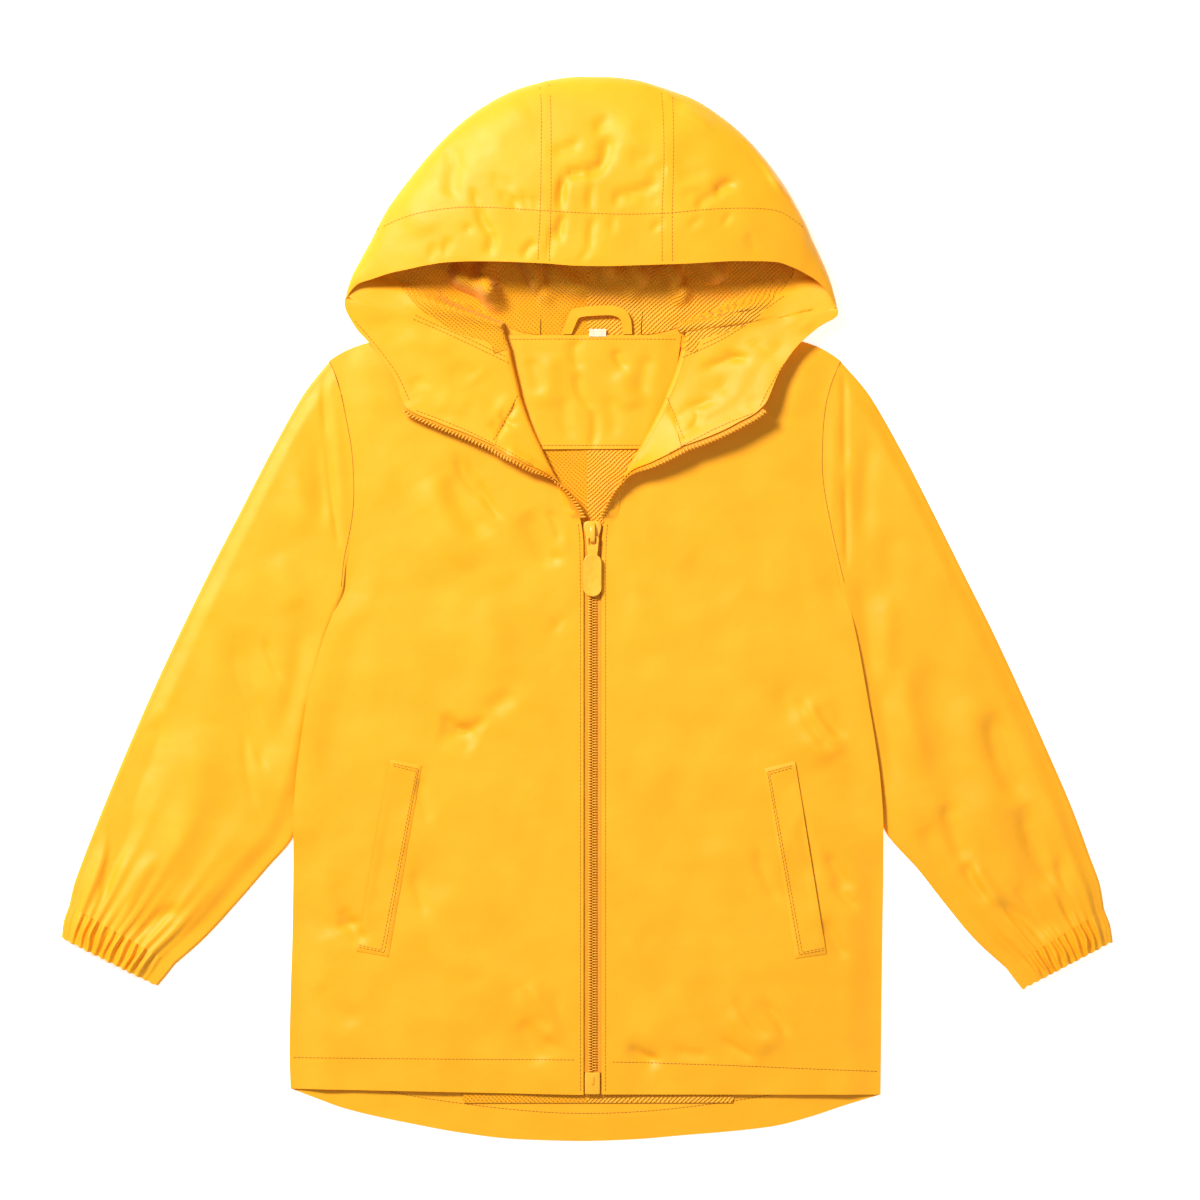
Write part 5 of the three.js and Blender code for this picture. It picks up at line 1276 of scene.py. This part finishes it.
def stitching(name, runs, ground, look, pitch=STITCH_PITCH, length=STITCH_LENGTH, width=STITCH_WIDTH):
    """Small rounded lengths of thread, one after another along each run; long ones join into one line, which
    also draws painted seam and slit shadows.
    """
    places, turns = [], []
    for run in runs:
        line = resampled(eased(run), pitch)
        found = [ground.hit(x, y) for x, y in line]
        for k, hit in enumerate(found):
            a, b = found[max(0, k - 1)], found[min(len(found) - 1, k + 1)]
            if hit is None or a is None or b is None:
                continue
            if abs(a[0].z - b[0].z) > 3 * MM:
                continue
            up = hit[1].normalized()
            ahead = b[0] - a[0]
            ahead = (ahead - up * ahead.dot(up)).normalized()
            aside = up.cross(ahead)
            places.append(np.array(hit[0]) / MM + np.array(up) * (CLOTH / 2 + 0.08))
            turns.append(np.array([ahead, aside, up]))
    bm = bmesh.new()
    bmesh.ops.create_uvsphere(bm, u_segments=6, v_segments=4, radius=0.5)
    bmesh.ops.rotate(bm, verts=bm.verts, matrix=Matrix.Rotation(math.pi / 2, 3, "Y"))
    bmesh.ops.scale(bm, verts=bm.verts, vec=(length, width, width * 0.8))
    return repeated(name, indexed(bm), (np.array(places), np.array(turns)), look, slot="shell")


OPEN_PITCH = 2.5


def tooth():
    """One moulded tooth, pointing along its first direction."""
    bm = bmesh.new()
    bmesh.ops.create_cube(bm, size=1)
    for v in bm.verts:
        wide = 0.62 if v.co.x > 0 else 1.0
        v.co = (v.co.x * 3.3, v.co.y * 1.15 * wide, v.co.z * (1.3 if v.co.x > 0 else 1.7))
    bmesh.ops.bevel(
        bm, geom=bm.edges[:], offset=0.22, segments=1, profile=0.5, affect="EDGES", material=-1,
    )
    return indexed(bm)


def closed_zip(look_tape, look_teeth):
    ys = np.linspace(ZIP_TOP + 14, ZIP_BOTTOM - 0.6, 94)
    for side, sign in (("left", -1), ("right", 1)):
        xs = ZIP_X + sign * np.linspace(TAPE_IN, TAPE_OUT, 9)
        x, y = np.meshgrid(xs, ys, indexing="ij")
        z = TAPE_Z + 0.12 * np.sin(y / 5.5 + sign) * smooth(np.abs(x - ZIP_X) / 8)
        cloth(f"zip_tape_{side}", np.stack([x, y, z], axis=2), look_tape, ["zip_chain"], slot="zip_tape",
                wall=TAPE_WALL)
    places, turns = [], []
    count = int((ZIP_TOP - ZIP_BOTTOM) / TEETH_PITCH)
    for k in range(count):
        for sign in (-1, 1):
            y = ZIP_BOTTOM + 0.8 + (k + (0.5 if sign > 0 else 0)) * TEETH_PITCH
            places.append((ZIP_X + sign * 1.35, y, TAPE_Z + 0.95))
            turns.append([(-sign, 0, 0), (0, -sign, 0), (0, 0, 1)])
    repeated("zip_teeth_closed", tooth(), (np.array(places), np.array(turns, float)), look_teeth,
            slot="zip_tape", nodes=["zip_chain"])


def zip_rim(side, front_rows, hand, sleeve_rows, hood_rows):
    """The free edge of lapel and hood that carries an open half: places and outward directions."""
    v = np.linspace(12.35, LAPEL_TO - 0.05, 44)
    rim = front_points(front_rows, hand, sleeve_rows, np.array([2.8, 3.0]), v)
    u = np.linspace(LAPEL_TO - 0.05, ZIP_END_LINE + 0.05, 44)
    hood = hood_points(hood_rows, u, FACING_STEPS, LINING_STEPS, ROLL_STEPS)[:, [1, 0]].transpose(1, 0, 2)
    both = np.concatenate([rim, hood], axis=1)
    out = both[1] - both[0]
    out /= np.linalg.norm(out, axis=1, keepdims=True)
    edge = both[1].copy()
    for k in range(3):
        edge[1:-1, k] = (edge[:-2, k] + 2 * edge[1:-1, k] + edge[2:, k]) / 4
    for _ in range(6):
        out[1:-1] = (out[:-2] + 2 * out[1:-1] + out[2:]) / 4
        out /= np.linalg.norm(out, axis=1, keepdims=True)
    return edge, out


def open_zip(side, rim, look_tape, look_teeth):
    edge, out = rim
    across = np.linspace(-5, HALF_ZIP_WIDTH - 0.9, 9)
    grid = edge[None] + out[None] * across[:, None, None]
    cloth(f"zip_open_tape_{side}", grid, look_tape, [f"zip_half_{side}"], slot="zip_tape", wall=TAPE_WALL)
    line = edge + out * (HALF_ZIP_WIDTH - 1.2)
    middle = resampled(line, OPEN_PITCH)
    ahead = np.gradient(middle, axis=0)
    ahead /= np.linalg.norm(ahead, axis=1, keepdims=True)
    run = np.concatenate([[0], np.cumsum(np.linalg.norm(np.diff(line, axis=0), axis=1))])
    at = (np.arange(len(middle)) + 0.5) / len(middle) * run[-1]
    away = np.stack([np.interp(at, run, out[:, k]) for k in range(3)], axis=1)
    up = np.cross(away, ahead)
    up *= np.sign(up[:, 2:3] + 1e-9)
    up /= np.linalg.norm(up, axis=1, keepdims=True)
    aside = np.cross(up, away)
    turns = np.stack([away, aside, up], axis=1)
    repeated(f"zip_teeth_open_{side}", tooth(), (middle + up * 0.55, turns), look_teeth, slot="zip_tape",
            nodes=[f"zip_half_{side}"])


# Slider, pull and retainer
SLIDER_FOOT = 44.5
SLIDER_BASE = 3.6
SLIDER_TOP = 8.0
PULL_AXIS_Y = 50.6
PULL_Z = 9.05
PULL_WALL = 1.4
PULL_TILT = 2


def oval(half_width, top, bottom, corner, count=6):
    """A long outline with round ends, from its centre line, clockwise."""
    points = []
    for cx, cy, start in (
        (half_width - corner, top - corner, 90), (half_width - corner, bottom + corner, 0),
        (-half_width + corner, bottom + corner, -90), (-half_width + corner, top - corner, 180),
    ):
        for k in range(count + 1):
            a = math.radians(start - 90 * k / count)
            points.append((cx + corner * math.cos(a), cy + corner * math.sin(a)))
    return points


def slider(look):
    shield = [
        (-3.9, 0), (3.9, 0), (4.3, 3), (4.4, 6), (5.2, 9), (6.1, 12), (6.2, 14.6), (5.2, 16.6), (3.2, 17.5),
        (-3.2, 17.5), (-5.2, 16.6), (-6.2, 14.6), (-6.1, 12), (-5.2, 9), (-4.4, 6), (-4.3, 3),
    ]
    move = Matrix.Translation((ZIP_X, SLIDER_FOOT, 0))
    bm = metres(slab(shield, SLIDER_BASE + 2.3, SLIDER_TOP, 0.8, 4), move)
    named_piece("zip_slider_body", bm, look, slot="painted_metal", nodes=["zip_slider"])
    bm = metres(slab([(x * 0.98, y) for x, y in shield], SLIDER_BASE - 1.2, SLIDER_BASE + 0.1, 0.4, 3), move)
    named_piece("zip_slider_base", bm, look, slot="painted_metal", nodes=["zip_slider"])
    side = [
        (1.8, 0.4), (2.0, 1.9), (2.9, 3.3), (4.6, 4.1), (10.6, 4.1), (13.4, 3.2), (15.4, 1.7), (16.4, 0.2),
        (13.2, 0.0), (12.2, 1.9), (10.8, 2.6), (4.8, 2.6), (3.6, 1.9), (3.3, 0.3),
    ]
    upright = Matrix(((0, 0, 1, 0), (1, 0, 0, 0), (0, 1, 0, 0), (0, 0, 0, 1)))
    bm = metres(slab(side, -1.75, 1.75, 0.55, 3), Matrix.Translation((ZIP_X, SLIDER_FOOT,
            SLIDER_TOP - 0.35)) @ upright)
    named_piece("zip_slider_bail", bm, look, slot="painted_metal", nodes=["zip_slider"])


def pull(look):
    place = Matrix.Translation((ZIP_X, PULL_AXIS_Y, PULL_Z)) @ Matrix.Rotation(math.radians(PULL_TILT),
            4, "X")
    neck = [(x * mix(0.74, 1.0, float(smooth((y + 13) / 9))), y) for x, y in oval(4.6, 0.75, -14.6, 2.0)]
    bm = metres(slab(neck, -PULL_WALL / 2, PULL_WALL / 2, 0.35, 3, oval(2.75, -0.55, -5.6, 1.2)), place)
    named_piece("zip_pull_neck", bm, look, body="zip_pull", slot="painted_metal", nodes=["zip_pull"])
    tab = [(-3.3, -12.6), (-1.4, -11.8), (1.4, -11.8), (3.3, -12.6), (5.4, -14.4), (6.3, -17)]
    tab += [(6.3 * math.sin(a), -36.0 - 5.5 * math.cos(a)) for a in np.linspace(math.pi / 2,
            -math.pi / 2, 17)]
    tab += [(-6.3, -17), (-5.4, -14.4)]
    bm = slab(tab, -PULL_WALL / 2 - 0.1, PULL_WALL / 2 + 0.25, 0.35, 3)
    faces = [f for f in bm.faces if f.normal.z > 0.99 and f.calc_area() > 100]
    bmesh.ops.inset_region(bm, faces=faces, thickness=0.9, depth=-0.28)
    named_piece("zip_pull_tab", metres(bm, place), look, body="zip_pull", slot="painted_metal",
            nodes=["zip_pull"])


def retainer(look):
    place = Matrix.Translation((ZIP_X, ZIP_BOTTOM - 0.4, 3.0))
    bm = metres(slab(oval(5.4, 0, -15.4, 1.2), 0, 3.3, 0.8, 3), place)
    named_piece("zip_retainer_box", bm, look, slot="moulding", nodes=["zip_retainer"])
    bm = metres(slab(oval(1.1, -2, -8.5, 1.0), 3.2, 3.9, 0.3, 2), place)
    named_piece("zip_retainer_pin", bm, look, slot="moulding", nodes=["zip_retainer"])


# Materials
class Value:
    """A number or colour on its way through a material's nodes."""

    def __init__(self, look, socket):
        self.look = look
        self.socket = socket

    def math(self, operation, *others):
        inputs = {k: value for k, value in enumerate((self,) + others)}
        return self.look.node("ShaderNodeMath", {"operation": operation}, inputs)

    def __add__(self, other):
        return self.math("ADD", other)

    def __radd__(self, other):
        return self.math("ADD", other)

    def __mul__(self, other):
        return self.math("MULTIPLY", other)

    def __rmul__(self, other):
        return self.math("MULTIPLY", other)

    def __sub__(self, other):
        return self.math("SUBTRACT", other)

    def __rsub__(self, other):
        return self.look.node("ShaderNodeMath", {"operation": "SUBTRACT"}, {0: other, 1: self})

    def sine(self):
        return self.math("SINE")

    def between(self, low, high):
        limits = {"Value": self, "From Min": low, "From Max": high}
        return self.look.node("ShaderNodeMapRange", {"clamp": True}, limits)


class Look:
    """A material whose nodes are added one by one around a Principled shader."""

    def __init__(self, name, **constants):
        self.material = bpy.data.materials.new(name)
        self.material.use_nodes = True
        self.tree = self.material.node_tree
        self.tree.nodes.clear()
        self.shader = self.tree.nodes.new("ShaderNodeBsdfPrincipled")
        end = self.tree.nodes.new("ShaderNodeOutputMaterial")
        self.tree.links.new(self.shader.outputs[0], end.inputs[0])
        for key, value in constants.items():
            self.shader.inputs[key.replace("_", " ")].default_value = value

    def node(self, kind, settings=None, inputs=None, output=0):
        node = self.tree.nodes.new(kind)
        for key, value in (settings or {}).items():
            setattr(node, key, value)
        for key, value in (inputs or {}).items():
            self.feed(node.inputs[key], value)
        return Value(self, node.outputs[output])

    def feed(self, socket, value):
        if isinstance(value, Value):
            self.tree.links.new(value.socket, socket)
        else:
            socket.default_value = value

    def object_place(self):
        return self.node("ShaderNodeTexCoord", output="Object")

    def cloth_place(self):
        uv = self.node("ShaderNodeUVMap", {"uv_map": "cloth"})
        return [self.node("ShaderNodeSeparateXYZ", None, {0: uv}, axis) for axis in (0, 1)]

    def noise(self, place, scale, detail=2.0, output=0):
        return self.node("ShaderNodeTexNoise", None, {"Vector": place, "Scale": scale, "Detail": detail},
                output)

    def blended(self, factor, one, two):
        mixed = self.node("ShaderNodeMix", {"data_type": "RGBA"}, {0: factor, 6: one, 7: two}, 2)
        return mixed

    def finish(self, colour, roughness, height):
        self.feed(self.shader.inputs["Base Color"], colour)
        self.feed(self.shader.inputs["Roughness"], roughness)
        bump = self.node("ShaderNodeBump", None, {"Height": height, "Distance": 1.0, "Strength": 1.0})
        self.feed(self.shader.inputs["Normal"], bump)
        return self.material


def shade(red, green, blue):
    return (red, green, blue, 1.0)


def shell_look():
    look = Look("raincoat_cloth", Specular_IOR_Level=0.3, Sheen_Weight=0.04, Sheen_Roughness=0.4)
    place = look.object_place()
    u, v = look.cloth_place()
    crumple = look.noise(place, 26.0, 3.0)
    ripple = look.noise(place, 95.0, 2.0)
    grain = look.noise(place, 900.0, 1.0)
    weave = (u * (2 * math.pi / 0.00062)).sine() * (v * (2 * math.pi / 0.00062)).sine()
    height = crumple * 0.0011 + ripple * 0.00013 + grain * 0.000012 + weave * 0.000006
    colour = look.blended(crumple.between(0.3, 0.7), shade(0.93, 0.385, 0.0065), shade(0.97, 0.42, 0.010))
    return look.finish(colour, ripple.between(0.2, 0.8) * 0.10 + 0.46, height)


def net_look():
    look = Look("net_lining", Specular_IOR_Level=0.3, Sheen_Weight=0.15, Sheen_Roughness=0.4)
    place = look.object_place()
    x, y, z = [look.node("ShaderNodeSeparateXYZ", None, {0: place}, axis) for axis in (0, 1, 2)]
    drift = look.noise(place, 45.0, 2.0)
    bent = drift * 0.006
    across = y - x.math("ABSOLUTE") * 0.9 + z * 0.6 + bent
    along = y * 0.7 + x.math("ABSOLUTE") * 0.9 + bent
    rib = (across * (2 * math.pi / 0.0029)).sine()
    row = (across * (2 * math.pi / 0.0029) + 1.6).sine().between(-0.2, 0.9)
    hole = (along * (2 * math.pi / 0.0024)).sine().between(-0.1, 0.9)
    holes = row * hole
    # Painted shade: the holes, and a little the rows they lie in, are coloured darker, as the shaded cloth
    # seen through the net.
    painted_net_shade = holes * 0.46 + row * 0.12
    colour = look.blended(painted_net_shade, shade(0.95, 0.385, 0.005), shade(0.52, 0.12, 0.001))
    return look.finish(colour, drift * 0.2 + 0.5, rib * 0.00022 - holes * 0.00032)


def tape_look():
    look = Look("zip_tape", Specular_IOR_Level=0.3)
    place = look.object_place()
    u, v = look.cloth_place()
    twill = ((u + v) * (2 * math.pi / 0.0011)).sine()
    drift = look.noise(place, 200.0, 2.0)
    colour = look.blended(twill.between(-1, 1), shade(0.78, 0.28, 0.006), shade(0.92, 0.37, 0.010))
    return look.finish(colour, drift * 0.2 + 0.5, twill * 0.00005)


# Thread for the topstitching; the same dark colour also draws the painted shade lines along the armhole
# seams.
def thread_and_seam_shade_look():
    look = Look("thread_and_seam_shade", Specular_IOR_Level=0.4)
    place = look.object_place()
    twist = look.noise(place, 1800.0, 1.0)
    colour = look.blended(twist, shade(0.30, 0.10, 0.002), shade(0.50, 0.18, 0.005))
    return look.finish(colour, twist * 0.2 + 0.45, twist * 0.00008)


# Painted shadow: a dark line along each pocket slit, where the slit's shade falls.
def slit_shade_look():
    look = Look("pocket_slit_shade", Specular_IOR_Level=0.2)
    place = look.object_place()
    drift = look.noise(place, 300.0, 1.0)
    colour = look.blended(drift, shade(0.22, 0.05, 0.001), shade(0.34, 0.09, 0.002))
    return look.finish(colour, drift * 0.1 + 0.7, drift * 0.00003)


def teeth_look():
    look = Look("zip_teeth", Specular_IOR_Level=0.5)
    place = look.object_place()
    drift = look.noise(place, 300.0, 2.0)
    colour = look.blended(drift, shade(0.86, 0.36, 0.012), shade(0.95, 0.46, 0.03))
    return look.finish(colour, drift * 0.15 + 0.3, drift * 0.00004)


def paint_look():
    look = Look("painted_metal", Specular_IOR_Level=0.5, Coat_Weight=0.35, Coat_Roughness=0.15)
    place = look.object_place()
    drift = look.noise(place, 260.0, 3.0)
    fine = look.noise(place, 1500.0, 1.0)
    colour = look.blended(drift.between(0.3, 0.7), shade(0.93, 0.43, 0.022), shade(0.96, 0.48, 0.035))
    return look.finish(colour, drift * 0.12 + 0.28, fine * 0.00002)


def moulding_look():
    look = Look("moulded_box", Specular_IOR_Level=0.45)
    place = look.object_place()
    drift = look.noise(place, 400.0, 2.0)
    colour = look.blended(drift, shade(0.90, 0.40, 0.015), shade(0.96, 0.45, 0.025))
    return look.finish(colour, drift * 0.15 + 0.38, drift * 0.00004)


def label_look():
    look = Look("satin_label", Specular_IOR_Level=0.5, Sheen_Weight=0.2)
    place = look.object_place()
    u, v = look.cloth_place()
    satin = (u * (2 * math.pi / 0.0006)).sine()
    drift = look.noise(place, 150.0, 2.0)
    colour = look.blended(drift, shade(0.72, 0.66, 0.44), shade(0.78, 0.72, 0.52))
    return look.finish(colour, drift * 0.1 + 0.4, satin * 0.00002)


def floor_look():
    look = Look("white_floor", Specular_IOR_Level=0.2, Emission_Strength=0.62)
    look.shader.inputs["Emission Color"].default_value = shade(1, 1, 1)
    place = look.object_place()
    drift = look.noise(place, 3.0, 1.0)
    colour = look.blended(drift, shade(0.93, 0.93, 0.93), shade(0.95, 0.95, 0.95))
    return look.finish(colour, drift * 0.05 + 0.7, drift * 0.00001)


# Camera, light and floor
def studio():
    scene = bpy.context.scene
    camera_data = bpy.data.cameras.new("camera")
    camera_data.type = "PERSP"
    camera_data.sensor_width = SENSOR
    camera_data.lens = SENSOR * CAMERA_HEIGHT / VIEW_WIDTH
    camera_data.clip_end = 50
    camera = bpy.data.objects.new("camera", camera_data)
    camera.location = (VIEW_CENTRE[0] * MM, VIEW_CENTRE[1] * MM, CAMERA_HEIGHT * MM)
    scene.collection.objects.link(camera)
    scene.camera = camera
    for name, place, size, power in (
        ("key", (-1.45, 1.5, 2.15), 0.7, 122),
        ("fill", (1.9, -0.6, 2.4), 2.2, 15),
        ("front", (0.0, -2.2, 2.0), 2.0, 6),
    ):
        data = bpy.data.lights.new(name, "AREA")
        data.energy = power
        data.size = size
        light = bpy.data.objects.new(name, data)
        light.location = place
        aim = Vector((0, 0.02, 0)) - Vector(place)
        light.rotation_euler = aim.to_track_quat("-Z", "Y").to_euler()
        scene.collection.objects.link(light)
    world = bpy.data.worlds.new("world")
    world.use_nodes = True
    world.node_tree.nodes["Background"].inputs[0].default_value = (1.0, 0.99, 0.97, 1)
    world.node_tree.nodes["Background"].inputs[1].default_value = 0.25
    scene.world = world
    scene.view_settings.view_transform = "Standard"
    bm = bmesh.new()
    bmesh.ops.create_grid(bm, x_segments=8, y_segments=8, size=5)
    mesh = bpy.data.meshes.new("floor")
    bm.to_mesh(mesh)
    bm.free()
    mesh.materials.append(floor_look())
    floor = bpy.data.objects.new("floor", mesh)
    scene.collection.objects.link(floor)
    floor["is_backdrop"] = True


# Runs of stitches, seen from above
BRIM_RUN = [
    (-147.4, 265), (-125.7, 274.8), (-97.7, 279.7), (-73.9, 280.4), (-33.3, 277.6), (16.5, 274.8),
    (56.4, 275.5), (80.2, 278.3), (104, 279.7), (132, 279), (143.9, 272), (157.2, 261.5),
]
HOOD_SEAM_RUNS = [
    [(-33.2, 365), (-31.9, 350), (-32.3, 304), (-32.7, 278), (-34.4, 243)],
    [(-26.8, 367), (-25.3, 350), (-25.2, 304), (-25.4, 278), (-26.6, 242)],
    [(51.4, 361), (53.0, 345), (53.4, 308), (51.8, 278), (52.0, 242)],
    [(59.2, 358), (60.0, 340), (59.8, 304), (58.8, 275), (59.2, 242)],
]
ZIP_EDGE_RUNS = [
    [(-4.9, -337), (-4.9, -100), (-4.9, 44), (-6.4, 60)],
    [(12.6, -337), (12.6, -100), (12.6, 44), (14.0, 60)],
]
HEM_RUNS = [
    [(-206, -313.4), (-150, -314), (-80, -314.6), (-9, -315)],
    [(17, -316.4), (90, -318.4), (150, -321), (203, -323.2)],
]
BACK_HEM_RUN = [
    (-190, -322), (-160, -332), (-121.5, -341.3), (-49.4, -350.7), (-3.9, -353.2), (48, -351.1),
    (111.7, -342.7), (160, -334), (196, -325),
]
LEFT_LAPEL_RUNS = [
    [(-119.9, 139.1), (-97, 130.5), (-76.7, 121.6), (-55.7, 110.6), (-34.7, 98.6), (-19, 87.4), (-11, 77)],
    [(-122, 203), (-106, 196.4), (-84, 186.2), (-69, 179), (-54.6, 172)],
    [(-120.8, 205.9), (-106.8, 199.4), (-83.7, 189.6), (-69.7, 182.6), (-57, 176.6)],
    [(-48.6, 150), (-63, 122.5), (-66, 118)],
    [(-163, 202), (-153, 191), (-144, 180), (-135, 168), (-129, 157), (-124.4, 146)],
]
RIGHT_LAPEL_RUNS = [
    [(115.6, 136.8), (95, 129), (74.6, 118.8), (54.3, 107.4), (36, 96.6), (24, 87), (17, 77)],
    [(120, 204.6), (107, 196.6), (94, 188.4), (78, 181), (66, 176)],
    [(137.6, 219.2), (121.5, 207.8), (108.2, 200.1), (94.9, 191.7), (77.4, 184), (68, 179.6)],
    [(56, 147.4), (61.6, 134.5), (67.6, 118.6)],
    [(160, 194.6), (150.4, 187.4), (142, 178.6), (133, 165.4), (125.4, 152), (120.4, 141.6)],
]
NECK_RUNS = [
    [(-50, 114.6), (-20, 114.8), (20, 114.8), (54, 115)],
    [(-54, 189), (-20, 189.2), (30, 189.2), (62, 189)],
]


def welt_runs(corners, inset):
    (sx, sy, wx, wy), (sx2, sy2, wx2, wy2) = corners.rows
    toward = 1 if wx > sx else -1
    drop = -(sx2 - sx) / (sy - sy2)
    a = (sx + toward * 1.0 + drop * inset, sy - inset - 0.3)
    b = (wx - toward * inset + drop * inset, wy - inset)
    c = (wx2 - toward * inset - drop * inset, wy2 + inset)
    d = (sx2 + toward * 1.0 - drop * inset, sy2 + inset + 0.3)
    return [[a, b], [b, c], [c, d]]


# Seams and pocket mouths, whose shadow is painted as a thin dark line
ARMHOLE_RUNS = [
    [
        (-180.3, 173), (-174.7, 160.7), (-170.5, 141.8), (-164.9, 113.8), (-163.5, 91.4), (-163.5, 72.5),
        (-166.3, 53.6), (-170.5, 36.1), (-172.2, 16),
    ],
    [(176.8, 173), (169.8, 156.8), (165.6, 138.3), (164.2, 113.8), (164.2, 91.4), (169.1, 64.8), (174.7,
            38.9), (179.6, 19)],
]
MOUTH_RUNS = [
    [(-139.0, -118), (-143.6, -142), (-150.0, -178), (-156.6, -214), (-158.8, -228)],
    [(146.4, -119), (150.2, -141), (156.2, -178), (162.2, -213), (164.6, -228)],
]


def build():
    studio()
    shell = shell_look()
    net = net_look()
    tape = tape_look()
    thread_and_seam_shade = thread_and_seam_shade_look()
    teeth = teeth_look()
    paint = paint_look()

    back_panel = back(shell)
    left_front, left_facing = front("left", LEFT_FRONT, 1, LEFT_SLEEVE, shell)
    right_front, right_facing = front("right", RIGHT_FRONT, -1, RIGHT_SLEEVE, shell)
    left_sleeve = sleeve("left", LEFT_SLEEVE, shell)
    right_sleeve = sleeve("right", RIGHT_SLEEVE, shell)
    cuff("left", LEFT_CUFF, shell)
    cuff("right", RIGHT_CUFF, shell)
    left_hood = hood_panel("side_left", LEFT_HOOD, 1, 8, shell, net)
    right_hood = hood_panel("side_right", RIGHT_HOOD, -1, 8, shell, net)
    centre_hood = hood_panel("centre", CENTRE_HOOD, -1, 9, shell, net)
    neck = cloth("neck_facing", strip_points(NECK_FACING, 50, 44, NECK_CREASES), shell, ["neck_facing"])
    binding = Table("x1 y1 x2 y2 z", [[-60, 184, 70, 184, 1.25], [-60, 199, 70, 199, 1.25]])
    cloth("neck_binding", strip_points(binding, 40, 7), shell, [])
    cloth("lining_back", strip_points(LINING_BACK, 40, 36), net, ["lining_back"], slot="net")
    cloth("lining_hem", strip_points(LINING_HEM, 90, 14), net, ["lining_hem"], slot="net")
    cloth("hanger_loop", strip_points(LOOP, 8, 70), shell, ["hanger_loop"])

    label_points = strip_points(Table("x1 y1 x2 y2 z", [[1.2, 190.9, 13.0, 190.9, 4.6], [1.2, 196.3,
            13.0, 196.3, 4.6]]), 13, 7)
    label_points[..., 2] += 0.12 * np.sin(label_points[..., 0] * 0.9)
    cloth("label", label_points, label_look(), ["label"], slot="label", wall=0.4)

    left_ground, right_ground = Ground(left_front), Ground(right_front)
    left_welt = welt("left", LEFT_WELT, left_ground, shell)
    right_welt = welt("right", RIGHT_WELT, right_ground, shell)
    closed_zip(tape, teeth)
    open_zip("left", zip_rim("left", LEFT_FRONT, 1, LEFT_SLEEVE, LEFT_HOOD), tape, teeth)
    open_zip("right", zip_rim("right", RIGHT_FRONT, -1, RIGHT_SLEEVE, RIGHT_HOOD), tape, teeth)
    slider(paint)
    pull(paint)
    retainer(moulding_look())

    crown = Ground(left_hood[0], right_hood[0], centre_hood[0])
    stitching("stitching_hood", [BRIM_RUN, *HOOD_SEAM_RUNS], crown, thread_and_seam_shade)
    fronts = Ground(left_front, right_front)
    stitching("stitching_fronts", [*ZIP_EDGE_RUNS, *HEM_RUNS], fronts, thread_and_seam_shade)
    stitching("stitching_back_hem", [BACK_HEM_RUN], Ground(back_panel), thread_and_seam_shade)
    arms = Ground(left_front, right_front, left_sleeve, right_sleeve)
    # Painted shade: dark lines along the armhole seams, where the seam's groove lies in shade.
    stitching("armhole_seam_shades", ARMHOLE_RUNS, arms, thread_and_seam_shade, LINE_PITCH, LINE_LENGTH, 0.5)
    shadow = slit_shade_look()
    stitching("pocket_slit_shades", MOUTH_RUNS, fronts, shadow, LINE_PITCH, LINE_LENGTH, 1.1)
    lapels = Ground(left_facing, right_facing, left_hood[1], right_hood[1])
    stitching("stitching_lapels", [*LEFT_LAPEL_RUNS, *RIGHT_LAPEL_RUNS], lapels, thread_and_seam_shade)
    stitching("stitching_neck", NECK_RUNS, Ground(neck), thread_and_seam_shade)
    welts = [*welt_runs(LEFT_WELT, 2.0), *welt_runs(RIGHT_WELT, 2.0), *welt_runs(LEFT_WELT, 3.6),
            *welt_runs(RIGHT_WELT, 3.6)]
    stitching("stitching_welts", welts, Ground(left_welt, right_welt), thread_and_seam_shade)

    with_stitches = {
        "back": "stitching_back_hem",
        "front_left": "stitching_fronts",
        "front_facing_left": "stitching_lapels",
        "hood_centre": "stitching_hood",
        "neck_facing": "stitching_neck",
        "pocket_welt_left": "stitching_welts",
    }
    for name in CUT_SIZES:
        declare(name, [with_stitches[name]] if name in with_stitches else [])


build()
scene_box = [[float(c) for c in corner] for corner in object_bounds()]
{"cad": cad_box, "visual": scene_box}
